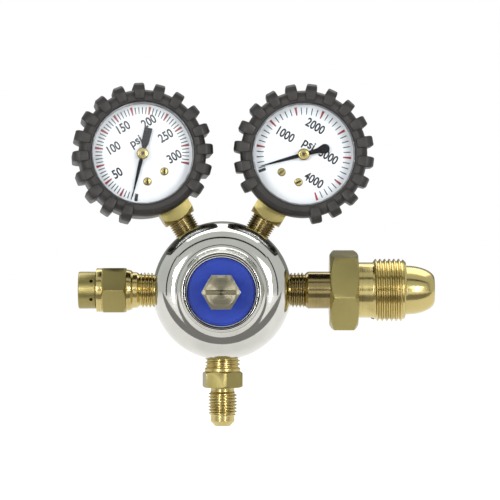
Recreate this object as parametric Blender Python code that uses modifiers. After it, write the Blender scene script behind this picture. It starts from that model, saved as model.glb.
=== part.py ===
"""Gas cylinder pressure regulator with two booted gauges, as separate pieces.

Metres, +Z up. The world origin is the tip of the inlet nose, and the inlet axis runs
along +X out of the body. The bonnet faces -Y. Inside a face frame the local axes are
x to the right, y up and z out of the front, so lengths along z are called "front".
"""
import bpy
import bmesh
from math import sin, cos, tan, asin, atan2, radians, degrees, pi, sqrt
from mathutils import Vector, Matrix

MM = 0.001
GAP = 0.3 * MM                 # clearance between neighbouring pieces
RUN = 0.15 * MM                # running clearance of the fine gauge pivots

# places of the outer pieces, measured from the centre of the body
INLET_REACH = 82.6 * MM        # body centre to the tip of the inlet nose
RELIEF_REACH = 56.1 * MM
OUTLET_REACH = 52.9 * MM
LEFT_TWIST = 5.0               # the left gauge was screwed in a little further

# body and its diaphragm cavity
BODY_R = 26.7 * MM
BODY_BACK = -13.0 * MM
BODY_FLANGE = 11.0 * MM
SPIGOT_R = BODY_R - 3.2 * MM
SPIGOT_TOP = 17.0 * MM
CAVITY_R = SPIGOT_R - 4.5 * MM
CAVITY_FLOOR = 12.5 * MM
CHAMBER_R = 6.2 * MM
CHAMBER_FLOOR = -8.0 * MM
NPT_R = 6.4 * MM               # quarter-inch pipe thread, mean radius
GAUGE_NPT_R = 4.9 * MM         # eighth-inch pipe thread, mean radius
PORT_END = BODY_R - 11.5 * MM  # distance from the axis where the tapped ports end
DRILL_R = 1.4 * MM
DRILL_REACH = CAVITY_R - 2.0 * MM

# bonnet
NECK_R = 15.0 * MM
SHELF_R = NECK_R + 3.8 * MM     # where the round shoulder meets the hollow at the neck
NECK_FRONT = 52.0 * MM
RECESS_R = 13.3 * MM
RECESS_FLOOR = 48.0 * MM
SPRING_BORE_R = 12.0 * MM
SPRING_BORE_TOP = 43.0 * MM
DISC_R = 12.8 * MM
DISC_T = 1.2 * MM

# pressure setting train
DIAPHRAGM_T = 1.0 * MM
PLATE_R = CAVITY_R - 5.0 * MM
SCREW_R = 4.0 * MM
SCREW_HEAD_AF = 12.7 * MM
SCREW_HEAD_H = 6.4 * MM
SCREW_STAND = 8.4 * MM         # head above the label disc with the screw backed off
SCREW_TRAVEL = 5.0 * MM        # four turns of a 1.25 mm pitch
SCREW_TIP = SPRING_BORE_TOP - 4.5 * MM
BUTTON_R = 10.5 * MM
BUTTON_T = 3.7 * MM
MAIN_COIL_R = 8.5 * MM
MAIN_WIRE_R = 0.9 * MM

# valve
NOZZLE_BORE_R = 1.6 * MM
PIN_R = 1.0 * MM
POPPET_R = 3.8 * MM
VALVE_LIFT = 0.6 * MM

# inlet nut and nipple
SHANK_R = 7.2 * MM
NUT_AF = 28.6 * MM
NUT_BACK = 41.7 * MM
NUT_HEX_END = 52.8 * MM
NUT_NECK_R = 10.8 * MM
NUT_NECK_END = 58.4 * MM
NUT_THREAD_R = 12.15 * MM
NUT_END = 71.1 * MM
NOSE_BASE = 71.6 * MM
NOSE_BACK = 66.0 * MM
NOSE_R = 9.5 * MM
NOSE_TIP_R = 4.5 * MM
NOSE_BORE_R = 2.6 * MM

# relief valve
RELIEF_AF = 15.9 * MM
RELIEF_SEAT = 40.0 * MM
RELIEF_COLLAR = 49.1 * MM
RELIEF_CAP_R = 7.2 * MM
CAP_SPIGOT = 4.5 * MM          # length of the cap's thread below the collar

# flare outlet
FLARE_AF = 14.3 * MM
FLARE_THREAD_R = 5.5 * MM
FLARE_BORE_R = 2.4 * MM

# gauges, lengths along the front axis from the stem's plane
BOOT_ROOT_R = 24.6 * MM
BOOT_WALL = 3.6 * MM
CASE_R = BOOT_ROOT_R - BOOT_WALL - GAP
CASE_WALL = 0.7 * MM
CASE_RIM = 11.1 * MM
CASE_BACK = -11.0 * MM
BOOT_TIP_R = BOOT_ROOT_R + 2.6 * MM
BOOT_LIP_R = CASE_R - MM
BOOT_HOLE_R = CASE_R - 7.7 * MM
SLOT_TOP = CASE_R - 5.7 * MM   # where the slots round the socket end inside the case
BOOT_FRONT = 13.8 * MM
BOOT_BACK = -13.0 * MM
LUG_PITCH = 18.0
LUG_COUNT = 17
LUG_FIRST = {"left": -63.5, "right": -60.0}
BOOT_APART = 8.6 * MM          # free space between the two boots
STEM_SHOW = 10.1 * MM          # free space between a boot and the body
GAUGE_REACH = BODY_R + STEM_SHOW + BOOT_ROOT_R  # body centre to the centre of a dial
GAUGE_LEAN = degrees(asin((BOOT_TIP_R + BOOT_APART / 2) / GAUGE_REACH))  # from the vertical
LENS_R = CASE_R - CASE_WALL - GAP
LENS_BACK = 9.4 * MM
LENS_T = 1.5 * MM
DIAL_R = LENS_R - GAP
DIAL_BACK = 4.6 * MM
DIAL_T = 0.5 * MM
DIAL_SCREW_REACH = 10.9 * MM
DIAL_SCREW_ANGLE = 20.5
SOCKET_HALF = 6.3 * MM
SOCKET_BOTTOM = BODY_R + 5.5 * MM  # from the body centre to the wrench block
POINTER_BACK = 6.4 * MM
POINTER_T = 0.4 * MM
POINTER_REACH = DIAL_R - 2.1 * MM
POINTER_TAIL = 10.4 * MM
POINTER_ZERO = 227.0
HUB_R = 2.3 * MM

# gauge movement
TOOTH_MODULE = 0.3 * MM
PINION_TEETH = 8
SECTOR_TEETH = 48              # teeth the sector would have as a full wheel
SECTOR_CUT = 9                 # teeth it really has
BACKLASH = 0.1 * MM
ADDENDUM = 0.8 * TOOTH_MODULE
DEDENDUM = 1.2 * TOOTH_MODULE
PINION_R = TOOTH_MODULE * PINION_TEETH / 2
SECTOR_R = TOOTH_MODULE * SECTOR_TEETH / 2
SECTOR_SIDE = -15.0            # bearing of the sector's pivot from the pinion
TAIL_REACH = 3.3 * MM
TAIL_ANGLE = -22.5
ARBOR_R = 0.6 * MM
TUBE_R = CASE_R - 4.5 * MM
TUBE_THICK = 0.8 * MM
TUBE_FLATTEN = 3.0
TUBE_FRONT = -1.0 * MM
TUBE_START = 245.3             # bearing where the tube leaves the socket
TUBE_END = -42.0
SECTOR_BACK = -0.2 * MM
SECTOR_T = 0.8 * MM
LINK_BACK = 0.9 * MM
LINK_T = 0.6 * MM


def clear_scene():
    for obj in list(bpy.data.objects):
        bpy.data.objects.remove(obj, do_unlink=True)


def collection(name):
    coll = bpy.data.collections.new(name)
    bpy.context.scene.collection.children.link(coll)
    return coll


def material(name, rgb, metallic, roughness, alpha=1.0):
    mat = bpy.data.materials.new(name)
    mat.use_nodes = True
    shader = mat.node_tree.nodes["Principled BSDF"]
    shader.inputs["Base Color"].default_value = (*rgb, 1.0)
    shader.inputs["Metallic"].default_value = metallic
    shader.inputs["Roughness"].default_value = roughness
    shader.inputs["Alpha"].default_value = alpha
    mat.diffuse_color = (*rgb, alpha)
    return mat


def frame(name, parent=None, location=(0, 0, 0), rotation=(0, 0, 0)):
    """Empty that carries the pieces of one axis."""
    obj = bpy.data.objects.new(name, None)
    obj.empty_display_size = 0.005
    PARTS.objects.link(obj)
    obj.parent = parent
    obj.location = location
    obj.rotation_euler = [radians(a) for a in rotation]
    return obj


def place(obj, parent, mat=None, rotation_z=0.0):
    """Named piece if it has a material, cutter or tool shape if it has none."""
    if mat is None:
        TOOLS.objects.link(obj)
        obj.hide_render = True
        obj.display_type = "WIRE"
    else:
        PARTS.objects.link(obj)
        obj.data.materials.append(mat)
    obj.parent = parent
    obj.rotation_euler.z = radians(rotation_z)
    return obj


def mesh_object(name, bm):
    mesh = bpy.data.meshes.new(name)
    bmesh.ops.recalc_face_normals(bm, faces=bm.faces)
    bm.to_mesh(mesh)
    bm.free()
    mesh.shade_smooth()
    mesh.set_sharp_from_angle(angle=radians(35))
    return bpy.data.objects.new(name, mesh)


def turned(name, profile, steps, parent, mat=None):
    """Revolve an (r, front) profile that climbs the inside and runs down the outside."""
    mesh = bpy.data.meshes.new(name)
    bm = bmesh.new()
    verts = [bm.verts.new((r, 0, z)) for r, z in profile]
    for a, b in zip(verts, verts[1:]):
        bm.edges.new((a, b))
    if profile[0][0] > 0:
        bm.edges.new((verts[-1], verts[0]))
    bm.to_mesh(mesh)
    bm.free()
    obj = bpy.data.objects.new(name, mesh)
    place(obj, parent, mat)
    mod = obj.modifiers.new("turn", "SCREW")
    mod.steps = mod.render_steps = steps
    mod.use_merge_vertices = True
    mod.merge_threshold = 0.00001
    mod.use_smooth_shade = False
    return obj


def rod(name, radius, start, end, parent, mat=None, sides=20, end_radius=None, phase=0.0):
    """Round bar or cone between two points of the parent's frame."""
    start, end = Vector(start), Vector(end)
    bm = bmesh.new()
    bmesh.ops.create_cone(bm, cap_ends=True, segments=sides, radius1=radius,
                          radius2=radius if end_radius is None else end_radius,
                          depth=(end - start).length)
    turn = (end - start).to_track_quat("Z", "Y").to_matrix().to_4x4()
    spin = Matrix.Rotation(radians(phase), 4, "Z")
    bmesh.ops.transform(bm, verts=bm.verts,
                        matrix=Matrix.Translation((start + end) / 2) @ turn @ spin)
    return place(mesh_object(name, bm), parent, mat)


def block(name, low, high, parent, mat=None):
    """Rectangular block between two corners."""
    low, high = Vector(low), Vector(high)
    bm = bmesh.new()
    bmesh.ops.create_cube(bm, size=1.0)
    size = high - low
    bmesh.ops.scale(bm, vec=size, verts=bm.verts)
    bmesh.ops.translate(bm, vec=(low + high) / 2, verts=bm.verts)
    return place(mesh_object(name, bm), parent, mat)


def hexagon(name, across, low, high, parent, phase, chamfer):
    """Hexagon bar whose corners are turned off at both ends."""
    corner = across / sqrt(3)
    obj = rod(name, corner, (0, 0, low), (0, 0, high), parent, sides=6, phase=phase)
    flat = across / 2
    envelope = turned(name + "_envelope", [
        (0, high + GAP), (flat * 0.97, high + GAP), (flat * 0.97, high),
        (corner * 1.02, high - chamfer), (corner * 1.02, low + chamfer),
        (flat * 0.97, low), (flat * 0.97, low - GAP), (0, low - GAP)], 36, parent)
    combine(obj, envelope, "INTERSECT")
    return obj


def combine(target, operand, operation):
    mod = target.modifiers.new(operand.name, "BOOLEAN")
    mod.operation = operation
    mod.solver = "EXACT"
    mod.object = operand
    return target


def cut(target, *operands):
    for operand in operands:
        combine(target, operand, "DIFFERENCE")
    return target


def join(target, *operands):
    for operand in operands:
        combine(target, operand, "UNION")
    return target


def circle(radius, centre=(0, 0), count=20):
    return [(centre[0] + radius * cos(2 * pi * k / count),
             centre[1] + radius * sin(2 * pi * k / count)) for k in range(count)]


def sheet(name, loops, low, high, parent, mat=None, rotation_z=0.0):
    """Flat outline with holes, cut from sheet between two front distances."""
    curve = bpy.data.curves.new(name, "CURVE")
    curve.dimensions = "2D"
    curve.fill_mode = "BOTH"
    curve.extrude = (high - low) / 2
    for loop in loops:
        spline = curve.splines.new("POLY")
        spline.points.add(len(loop) - 1)
        for point, (x, y) in zip(spline.points, loop):
            point.co = (x, y, 0, 1)
        spline.use_cyclic_u = True
    source = bpy.data.objects.new(name + "_outline", curve)
    TOOLS.objects.link(source)
    bpy.context.view_layer.update()
    mesh = bpy.data.meshes.new_from_object(
        source.evaluated_get(bpy.context.evaluated_depsgraph_get()))
    bpy.data.objects.remove(source, do_unlink=True)
    bm = bmesh.new()
    bm.from_mesh(mesh)
    bmesh.ops.remove_doubles(bm, verts=bm.verts, dist=0.000001)
    bmesh.ops.translate(bm, vec=(0, 0, (low + high) / 2), verts=bm.verts)
    return place(mesh_object(name, bm), parent, mat, rotation_z)


def wire(name, points, radius, parent, mat, resolution=2):
    """Wire along a run of points, with closed ends."""
    curve = bpy.data.curves.new(name, "CURVE")
    curve.dimensions = "3D"
    curve.bevel_depth = radius
    curve.bevel_resolution = resolution
    curve.use_fill_caps = True
    spline = curve.splines.new("POLY")
    spline.points.add(len(points) - 1)
    for point, co in zip(spline.points, points):
        point.co = (*co, 1)
    return place(bpy.data.objects.new(name, curve), parent, mat)


def coil(name, radius, wire_r, low, high, turns, parent, mat, per_turn=12):
    """Compression spring between two seats, its end turns closed up."""
    low, high = low + wire_r, high - wire_r
    count = int(turns * per_turn)
    points = []
    for k in range(count + 1):
        t = k / per_turn
        dead = 2.2 * wire_r
        rise = min(t, 1) * dead + min(max(turns - t, 0), 1) * -dead
        rest = (high - low - 2 * dead) * min(max((t - 1) / (turns - 2), 0), 1)
        z = low + min(t, 1) * dead + rest + max(t - (turns - 1), 0) * dead
        angle = 2 * pi * t
        points.append((radius * cos(angle), radius * sin(angle), z))
    return wire(name, points, wire_r, parent, mat, resolution=1)


def polar(radius, angle, front=None):
    x, y = radius * cos(radians(angle)), radius * sin(radians(angle))
    return (x, y) if front is None else (x, y, front)


# regulator body, bonnet and setting train

def build_body(face):
    body = turned("body", [
        (0, CHAMBER_FLOOR), (CHAMBER_R, CHAMBER_FLOOR), (CHAMBER_R, CAVITY_FLOOR),
        (CAVITY_R, CAVITY_FLOOR), (CAVITY_R, SPIGOT_TOP), (SPIGOT_R - 0.5 * MM, SPIGOT_TOP),
        (SPIGOT_R, SPIGOT_TOP - 0.5 * MM), (SPIGOT_R, BODY_FLANGE),
        (BODY_R - 0.5 * MM, BODY_FLANGE), (BODY_R, BODY_FLANGE - 0.5 * MM),
        (BODY_R, BODY_BACK + 1.5 * MM), (BODY_R - 1.5 * MM, BODY_BACK), (0, BODY_BACK)],
        44, face, BRASS)
    ports = ((0, NPT_R, 2.2 * MM, True), (90 - GAUGE_LEAN, GAUGE_NPT_R, 1.6 * MM, True),
             (90 + GAUGE_LEAN, GAUGE_NPT_R, 1.6 * MM, False), (180, NPT_R, 2.2 * MM, False),
             (270, NPT_R, 2.2 * MM, False))
    for angle, thread_r, drill_r, high_pressure in ports:
        tag = "port_%d" % angle
        cut(body, rod(tag, thread_r + GAP, polar(PORT_END, angle, 0),
                      polar(BODY_R + 4 * MM, angle, 0), face, sides=18))
        if high_pressure:
            cut(body, rod(tag + "_drill", drill_r, polar(4 * MM, angle, 0),
                          polar(PORT_END + MM, angle, 0), face, sides=12))
        else:
            cut(body, rod(tag + "_drill", DRILL_R, polar(DRILL_REACH, angle, 0),
                          polar(DRILL_REACH, angle, CAVITY_FLOOR + MM), face, sides=12))
    return body


def bonnet_profile():
    """Bell of the bonnet: a round shoulder that ends in a hollow sweep up to the neck."""
    rim = BODY_FLANGE + 4.6 * MM
    end = radians(80)
    shoulder = [(BODY_R, BODY_FLANGE + GAP)]
    for k in range(5):
        angle = end * k / 4
        shoulder.append((BODY_R - (BODY_R - SHELF_R) * (1 - cos(angle)) / (1 - cos(end)),
                         rim + 12.5 * MM * sin(angle)))
    start_r, start_z = shoulder[-1]
    top_z = start_z + 6.4 * MM
    hollow = []
    for k in range(1, 5):
        t = k / 4
        hollow.append((start_r + (NECK_R - start_r) * (1 - (1 - t) ** 2.2),
                       start_z + (top_z - start_z) * t ** 1.6))
    return shoulder, hollow


def build_bonnet(face):
    shoulder, hollow = bonnet_profile()
    seat = SPIGOT_TOP + 2 * GAP + DIAPHRAGM_T + 1.6 * MM
    inside = [(SPIGOT_R + GAP, BODY_FLANGE + GAP), (SPIGOT_R + GAP, seat),
              (CAVITY_R - 0.6 * MM, seat), (CAVITY_R - 1.4 * MM, seat + MM),
              (SPRING_BORE_R, seat + 7.0 * MM),
              (SPRING_BORE_R, SPRING_BORE_TOP), (SCREW_R + GAP, SPRING_BORE_TOP),
              (SCREW_R + GAP, RECESS_FLOOR), (RECESS_R, RECESS_FLOOR),
              (RECESS_R, NECK_FRONT - 0.4 * MM), (RECESS_R + 0.4 * MM, NECK_FRONT),
              (NECK_R - 0.5 * MM, NECK_FRONT), (NECK_R, NECK_FRONT - 0.5 * MM)]
    return turned("bonnet", inside + hollow[::-1] + shoulder[::-1], 40, face, CHROME)


def build_label_disc(face):
    low = RECESS_FLOOR + GAP
    bore = SCREW_R + 1.6 * MM
    return turned("label_disc", [
        (bore, low), (bore, low + DISC_T), (DISC_R - 0.3 * MM, low + DISC_T),
        (DISC_R, low + DISC_T - 0.3 * MM), (DISC_R, low)], 36, face, BLUE)


def build_adjusting_screw(face):
    head_low = RECESS_FLOOR + GAP + DISC_T + SCREW_STAND
    head_top = head_low + SCREW_HEAD_H
    tip = SCREW_TIP
    screw = turned("adjusting_screw", [
        (0, head_low + 1.5 * MM), (SCREW_R, head_low + 1.5 * MM), (SCREW_R, tip + 2.2 * MM),
        (2.2 * MM, tip + 0.6 * MM), (1.2 * MM, tip), (0, tip)], 24, face, STEEL)
    corner = SCREW_HEAD_AF / sqrt(3)
    head = rod("screw_hexagon", corner, (0, 0, head_low), (0, 0, head_top), face, sides=6)
    envelope = turned("screw_envelope", [
        (0, head_top + GAP), (5.6 * MM, head_top + GAP), (5.6 * MM, head_top),
        (corner + 0.2 * MM, head_top - 1.4 * MM), (corner + 0.2 * MM, head_low + 0.5 * MM),
        (6.2 * MM, head_low), (6.2 * MM, head_low - GAP), (0, head_low - GAP)], 36, face)
    combine(head, envelope, "INTERSECT")
    join(screw, head)
    cut(screw, block("screw_slot", (-9 * MM, -0.92 * MM, head_top - 1.7 * MM),
                     (9 * MM, 0.92 * MM, head_top + MM), face))
    return screw


def build_spring_button(face):
    top = SCREW_TIP - GAP
    low = top - BUTTON_T
    return turned("spring_button", [
        (0, top - 0.4 * MM), (1.2 * MM, top), (3.6 * MM, top + 1.4 * MM),
        (4.8 * MM, top + 1.4 * MM), (6.2 * MM, top), (BUTTON_R - 0.6 * MM, top),
        (BUTTON_R, top - 0.6 * MM), (BUTTON_R, low), (6.4 * MM, low),
        (6.0 * MM, low - 2.0 * MM), (0, low - 2.0 * MM)], 22, face, STEEL)


def build_diaphragm_group(face):
    low = SPIGOT_TOP + GAP
    fold = (PLATE_R + CAVITY_R) / 2 - 0.1 * MM
    turned("diaphragm", [
        (0, low + DIAPHRAGM_T), (fold - 1.2 * MM, low + DIAPHRAGM_T),
        (fold, low + DIAPHRAGM_T + 0.8 * MM), (fold + 1.2 * MM, low + DIAPHRAGM_T),
        (SPIGOT_R - GAP, low + DIAPHRAGM_T), (SPIGOT_R - GAP, low), (fold + 1.6 * MM, low),
        (fold, low + 0.8 * MM), (fold - 1.6 * MM, low), (0, low)], 28, face, RUBBER)
    top = low + DIAPHRAGM_T + GAP
    turned("slip_washer", [
        (CAVITY_R - GAP, top), (CAVITY_R - GAP, top + MM), (SPIGOT_R - GAP, top + MM),
        (SPIGOT_R - GAP, top)], 32, face, STEEL)
    turned("diaphragm_plate", [
        (0, top + 3.6 * MM), (5.6 * MM, top + 3.6 * MM), (6.2 * MM, top + 3.0 * MM),
        (6.2 * MM, top + 1.8 * MM), (PLATE_R - 0.5 * MM, top + 1.8 * MM),
        (PLATE_R, top + 1.3 * MM), (PLATE_R, top), (0, top)], 24, face, BRASS)
    coil("adjusting_spring", MAIN_COIL_R, MAIN_WIRE_R, top + 1.8 * MM + GAP,
         SCREW_TIP - GAP - BUTTON_T - GAP, 4.5, face, SPRING)


def build_valve(face):
    lip = 5.2 * MM
    nozzle = turned("seat_nozzle", [
        (NOZZLE_BORE_R, lip), (NOZZLE_BORE_R, 14.2 * MM), (8.4 * MM, 14.2 * MM),
        (9.0 * MM, 13.7 * MM), (9.0 * MM, CAVITY_FLOOR + GAP),
        (CHAMBER_R - GAP, CAVITY_FLOOR + GAP), (CHAMBER_R - GAP, lip + 1.6 * MM),
        (2.6 * MM, lip + 1.2 * MM), (2.2 * MM, lip)], 20, face, BRASS)
    cut(nozzle, rod("nozzle_slot", 0.6 * MM, (-6.4 * MM, 0, 14.2 * MM),
                    (-2.8 * MM, 0, 14.2 * MM), face, sides=10),
        rod("nozzle_slot_b", 0.6 * MM, (2.8 * MM, 0, 14.2 * MM),
            (6.4 * MM, 0, 14.2 * MM), face, sides=10))
    seat_top = lip - GAP
    turned("seat_disc", [
        (PIN_R + 0.3 * MM, seat_top - 1.4 * MM), (PIN_R + 0.3 * MM, seat_top),
        (2.9 * MM, seat_top), (2.9 * MM, seat_top - 1.4 * MM)], 16, face, SEAT)
    floor = seat_top - 1.4 * MM - GAP
    turned("valve_poppet", [
        (0, SPIGOT_TOP), (PIN_R - 0.2 * MM, SPIGOT_TOP), (PIN_R, SPIGOT_TOP - 0.3 * MM),
        (PIN_R, floor), (3.2 * MM, floor), (3.2 * MM, seat_top - 0.4 * MM),
        (POPPET_R, seat_top - 0.4 * MM), (POPPET_R, floor - 1.8 * MM),
        (1.9 * MM, floor - 1.8 * MM), (1.9 * MM, -3.6 * MM), (0, -3.6 * MM)], 16, face, STEEL)
    coil("valve_spring", 3.0 * MM, 0.4 * MM, CHAMBER_FLOOR + GAP,
         floor - 1.8 * MM - GAP, 5, face, SPRING, per_turn=10)


# inlet connection

def build_inlet(axis):
    nose = [(NOSE_BORE_R, INLET_REACH), (NOSE_TIP_R, INLET_REACH)]
    for k in range(1, 6):
        t = k / 5
        nose.append((NOSE_TIP_R + (NOSE_R - NOSE_TIP_R) * sin(t * pi / 2) ** 0.9,
                     INLET_REACH - (INLET_REACH - NOSE_BASE) * (1 - cos(t * pi / 2)) ** 0.9))
    pocket = 4.0 * MM
    tail = PORT_END + GAP
    profile = [(pocket, tail), (pocket, tail + 8.6 * MM), (NOSE_BORE_R, tail + 9.6 * MM)]
    outer = nose[1:] + [(NOSE_R, NOSE_BACK), (SHANK_R, NOSE_BACK), (SHANK_R, 33.0 * MM),
                        (NPT_R + 0.2 * MM, 32.1 * MM), (NPT_R, BODY_R), (NPT_R, tail + 0.6 * MM),
                        (NPT_R - 0.6 * MM, tail)]
    turned("inlet_nipple", profile + [nose[0]] + outer, 28, axis, BRASS)
    turned("inlet_filter", [
        (0, tail + 2.0 * MM), (2.2 * MM, tail + 2.0 * MM), (2.2 * MM, tail + 8.0 * MM),
        (pocket - GAP, tail + 8.0 * MM), (pocket - GAP, tail + GAP), (0, tail + GAP)],
        20, axis, BRONZE)
    nut = turned("inlet_nut", [
        (0, NUT_END), (NUT_THREAD_R - 1.0 * MM, NUT_END), (NUT_THREAD_R, NUT_END - 1.0 * MM),
        (NUT_THREAD_R, NUT_NECK_END + 0.8 * MM), (NUT_NECK_R, NUT_NECK_END),
        (NUT_NECK_R, NUT_BACK + 2.0 * MM), (0, NUT_BACK + 2.0 * MM)], 28, axis, BRASS)
    join(nut, hexagon("nut_hexagon", NUT_AF, NUT_BACK, NUT_HEX_END, axis, 48, 1.6 * MM))
    cut(nut, rod("nut_bore", SHANK_R + GAP, (0, 0, NUT_BACK - MM), (0, 0, NUT_END),
                 axis, sides=24),
        rod("nut_counterbore", NOSE_R + GAP, (0, 0, NOSE_BACK - GAP),
            (0, 0, NUT_END + MM), axis, sides=28))


# relief valve

def build_relief(axis):
    tail = PORT_END + GAP
    body = turned("relief_body", [
        (0, RELIEF_COLLAR), (8.1 * MM, RELIEF_COLLAR), (8.5 * MM, RELIEF_COLLAR - 0.4 * MM),
        (8.5 * MM, 46.6 * MM), (7.2 * MM, 46.2 * MM), (7.4 * MM, 37.2 * MM), (7.9 * MM, 36.8 * MM),
        (7.9 * MM, 35.6 * MM), (7.0 * MM, 34.9 * MM), (6.9 * MM, 33.2 * MM),
        (NPT_R + 0.2 * MM, 32.1 * MM), (NPT_R, BODY_R), (NPT_R, tail + 0.6 * MM),
        (NPT_R - 0.6 * MM, tail), (0, tail)], 24, axis, BRASS)
    join(body, hexagon("relief_hexagon", RELIEF_AF, 37.4 * MM, 47.1 * MM, axis, 12.6, 1.0 * MM))
    cut(body, rod("relief_bore", 1.8 * MM, (0, 0, tail - MM), (0, 0, RELIEF_SEAT + MM),
                  axis, sides=16),
        rod("relief_chamber", 5.0 * MM, (0, 0, RELIEF_SEAT), (0, 0, 45.0 * MM), axis, sides=24),
        rod("relief_thread", 6.0 * MM, (0, 0, 44.0 * MM), (0, 0, RELIEF_COLLAR + MM),
            axis, sides=24))
    turned("relief_seal", [
        (0, RELIEF_SEAT + GAP + 0.9 * MM), (3.6 * MM, RELIEF_SEAT + GAP + 0.9 * MM),
        (3.6 * MM, RELIEF_SEAT + GAP), (0, RELIEF_SEAT + GAP)], 20, axis, RUBBER)
    low = RELIEF_SEAT + GAP + 0.9 * MM + GAP
    turned("relief_poppet", [
        (0, low + 5.2 * MM), (1.4 * MM, low + 5.2 * MM), (1.7 * MM, low + 4.6 * MM),
        (1.7 * MM, low + 1.4 * MM), (4.1 * MM, low + 1.4 * MM), (4.1 * MM, low), (0, low)],
        20, axis, BRASS)
    cap_end = RELIEF_REACH
    cap = turned("relief_cap", [
        (0, cap_end - 1.8 * MM), (4.4 * MM, cap_end - 1.8 * MM),
        (4.4 * MM, RELIEF_COLLAR - CAP_SPIGOT), (5.7 * MM, RELIEF_COLLAR - CAP_SPIGOT),
        (5.7 * MM, RELIEF_COLLAR + GAP),
        (RELIEF_CAP_R, RELIEF_COLLAR + GAP), (RELIEF_CAP_R, cap_end - 0.6 * MM),
        (RELIEF_CAP_R - 0.6 * MM, cap_end), (0, cap_end)][::-1], 24, axis, BRASS)
    for k in range(4):
        angle = 45 + 90 * k
        vent = RELIEF_COLLAR + 1.9 * MM
        cut(cap, rod("vent_%d" % k, 0.6 * MM, polar(RELIEF_CAP_R / 2, angle, vent),
                     polar(RELIEF_CAP_R + MM, angle, vent), axis, sides=10))
    coil("relief_spring", 3.2 * MM, 0.4 * MM, low + 1.4 * MM + GAP,
         cap_end - 1.8 * MM - GAP, 5, axis, SPRING, per_turn=10)


# flare outlet

def build_outlet(axis):
    tail = PORT_END + GAP
    fitting = turned("outlet_fitting", [
        (0, OUTLET_REACH), (3.0 * MM, OUTLET_REACH), (4.65 * MM, OUTLET_REACH - 1.8 * MM),
        (4.65 * MM, OUTLET_REACH - 4.0 * MM), (FLARE_THREAD_R, OUTLET_REACH - 4.8 * MM), (FLARE_THREAD_R, 40.2 * MM),
        (4.6 * MM, 39.4 * MM), (4.6 * MM, 38.2 * MM), (5.6 * MM, 37.2 * MM),
        (5.6 * MM, 33.0 * MM), (NPT_R + 0.3 * MM, 31.6 * MM), (NPT_R + 0.2 * MM, 30.1 * MM),
        (NPT_R, BODY_R), (NPT_R, tail + 0.6 * MM), (NPT_R - 0.6 * MM, tail), (0, tail)],
        24, axis, BRASS)
    join(fitting, hexagon("flare_hexagon", FLARE_AF, 31.9 * MM, 38.0 * MM, axis, 18.5, 0.8 * MM))
    cut(fitting, rod("flare_bore", FLARE_BORE_R, (0, 0, tail - MM),
                     (0, 0, OUTLET_REACH + MM), axis, sides=24))


# gauges

def build_boot(side, face, mirror):
    boot = turned(side + "_boot", [
        (CASE_R + GAP, CASE_RIM + GAP), (BOOT_LIP_R, CASE_RIM + 0.5 * MM),
        (BOOT_LIP_R, BOOT_FRONT - 1.5 * MM), (BOOT_LIP_R + 0.6 * MM, BOOT_FRONT - 0.9 * MM),
        (BOOT_ROOT_R - 2.4 * MM, BOOT_FRONT - 1.0 * MM),
        (BOOT_ROOT_R - 0.7 * MM, BOOT_FRONT - 1.9 * MM), (BOOT_ROOT_R, BOOT_FRONT - 3.8 * MM),
        (BOOT_ROOT_R, BOOT_BACK + 3.4 * MM), (BOOT_ROOT_R - MM, BOOT_BACK + 1.1 * MM),
        (BOOT_ROOT_R - 2.6 * MM, BOOT_BACK), (BOOT_HOLE_R, BOOT_BACK),
        (BOOT_HOLE_R, CASE_BACK - GAP), (CASE_R + GAP, CASE_BACK - GAP)], 25, face, RUBBER)
    bm = bmesh.new()
    # radius, front distance and half width down a lug's side view
    section = ((BOOT_LIP_R + 0.9 * MM, BOOT_FRONT - 0.5 * MM, 2.0 * MM),
               (BOOT_ROOT_R, BOOT_FRONT, 2.4 * MM),
               (BOOT_TIP_R, BOOT_FRONT - 2.4 * MM, 1.75 * MM),
               (BOOT_TIP_R, BOOT_BACK + 3.2 * MM, 1.75 * MM),
               (BOOT_ROOT_R - 2.2 * MM, BOOT_BACK + 0.4 * MM, 2.7 * MM))
    for k in range(LUG_COUNT):
        angle = LUG_FIRST[side] + LUG_PITCH * k
        if mirror:
            angle = 180 - angle
        corners = [bm.verts.new(Matrix.Rotation(radians(angle), 3, "Z")
                                @ Vector((r, s * w, z)))
                   for r, z, w in section for s in (-1, 1)]
        bmesh.ops.convex_hull(bm, input=corners)
    join(boot, place(mesh_object(side + "_lugs", bm), face))
    half = SOCKET_HALF + GAP
    cut(boot, block(side + "_boot_slot", (-half, -BOOT_TIP_R - MM, -half),
                    (half, -SLOT_TOP, half), face))


def build_case(side, face):
    inner = CASE_R - CASE_WALL
    case = turned(side + "_case", [
        (0, CASE_BACK + 0.8 * MM), (inner - 0.4 * MM, CASE_BACK + 0.8 * MM),
        (inner, CASE_BACK + 1.2 * MM), (inner, LENS_BACK - 0.9 * MM),
        (inner - 0.7 * MM, LENS_BACK - 0.7 * MM), (inner - 0.7 * MM, LENS_BACK - GAP),
        (inner, LENS_BACK - GAP), (inner, CASE_RIM), (CASE_R, CASE_RIM),
        (CASE_R, CASE_BACK + 0.8 * MM), (inner, CASE_BACK), (0, CASE_BACK)], 28, face, CASE)
    half = SOCKET_HALF + GAP
    cut(case, block(side + "_case_slot", (-half, -CASE_R - MM, -half),
                    (half, -SLOT_TOP, half), face))
    turned(side + "_lens", [
        (0, LENS_BACK + LENS_T), (LENS_R - 0.3 * MM, LENS_BACK + LENS_T),
        (LENS_R, LENS_BACK + LENS_T - 0.3 * MM), (LENS_R, LENS_BACK), (0, LENS_BACK)],
        36, face, GLASS)


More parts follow.
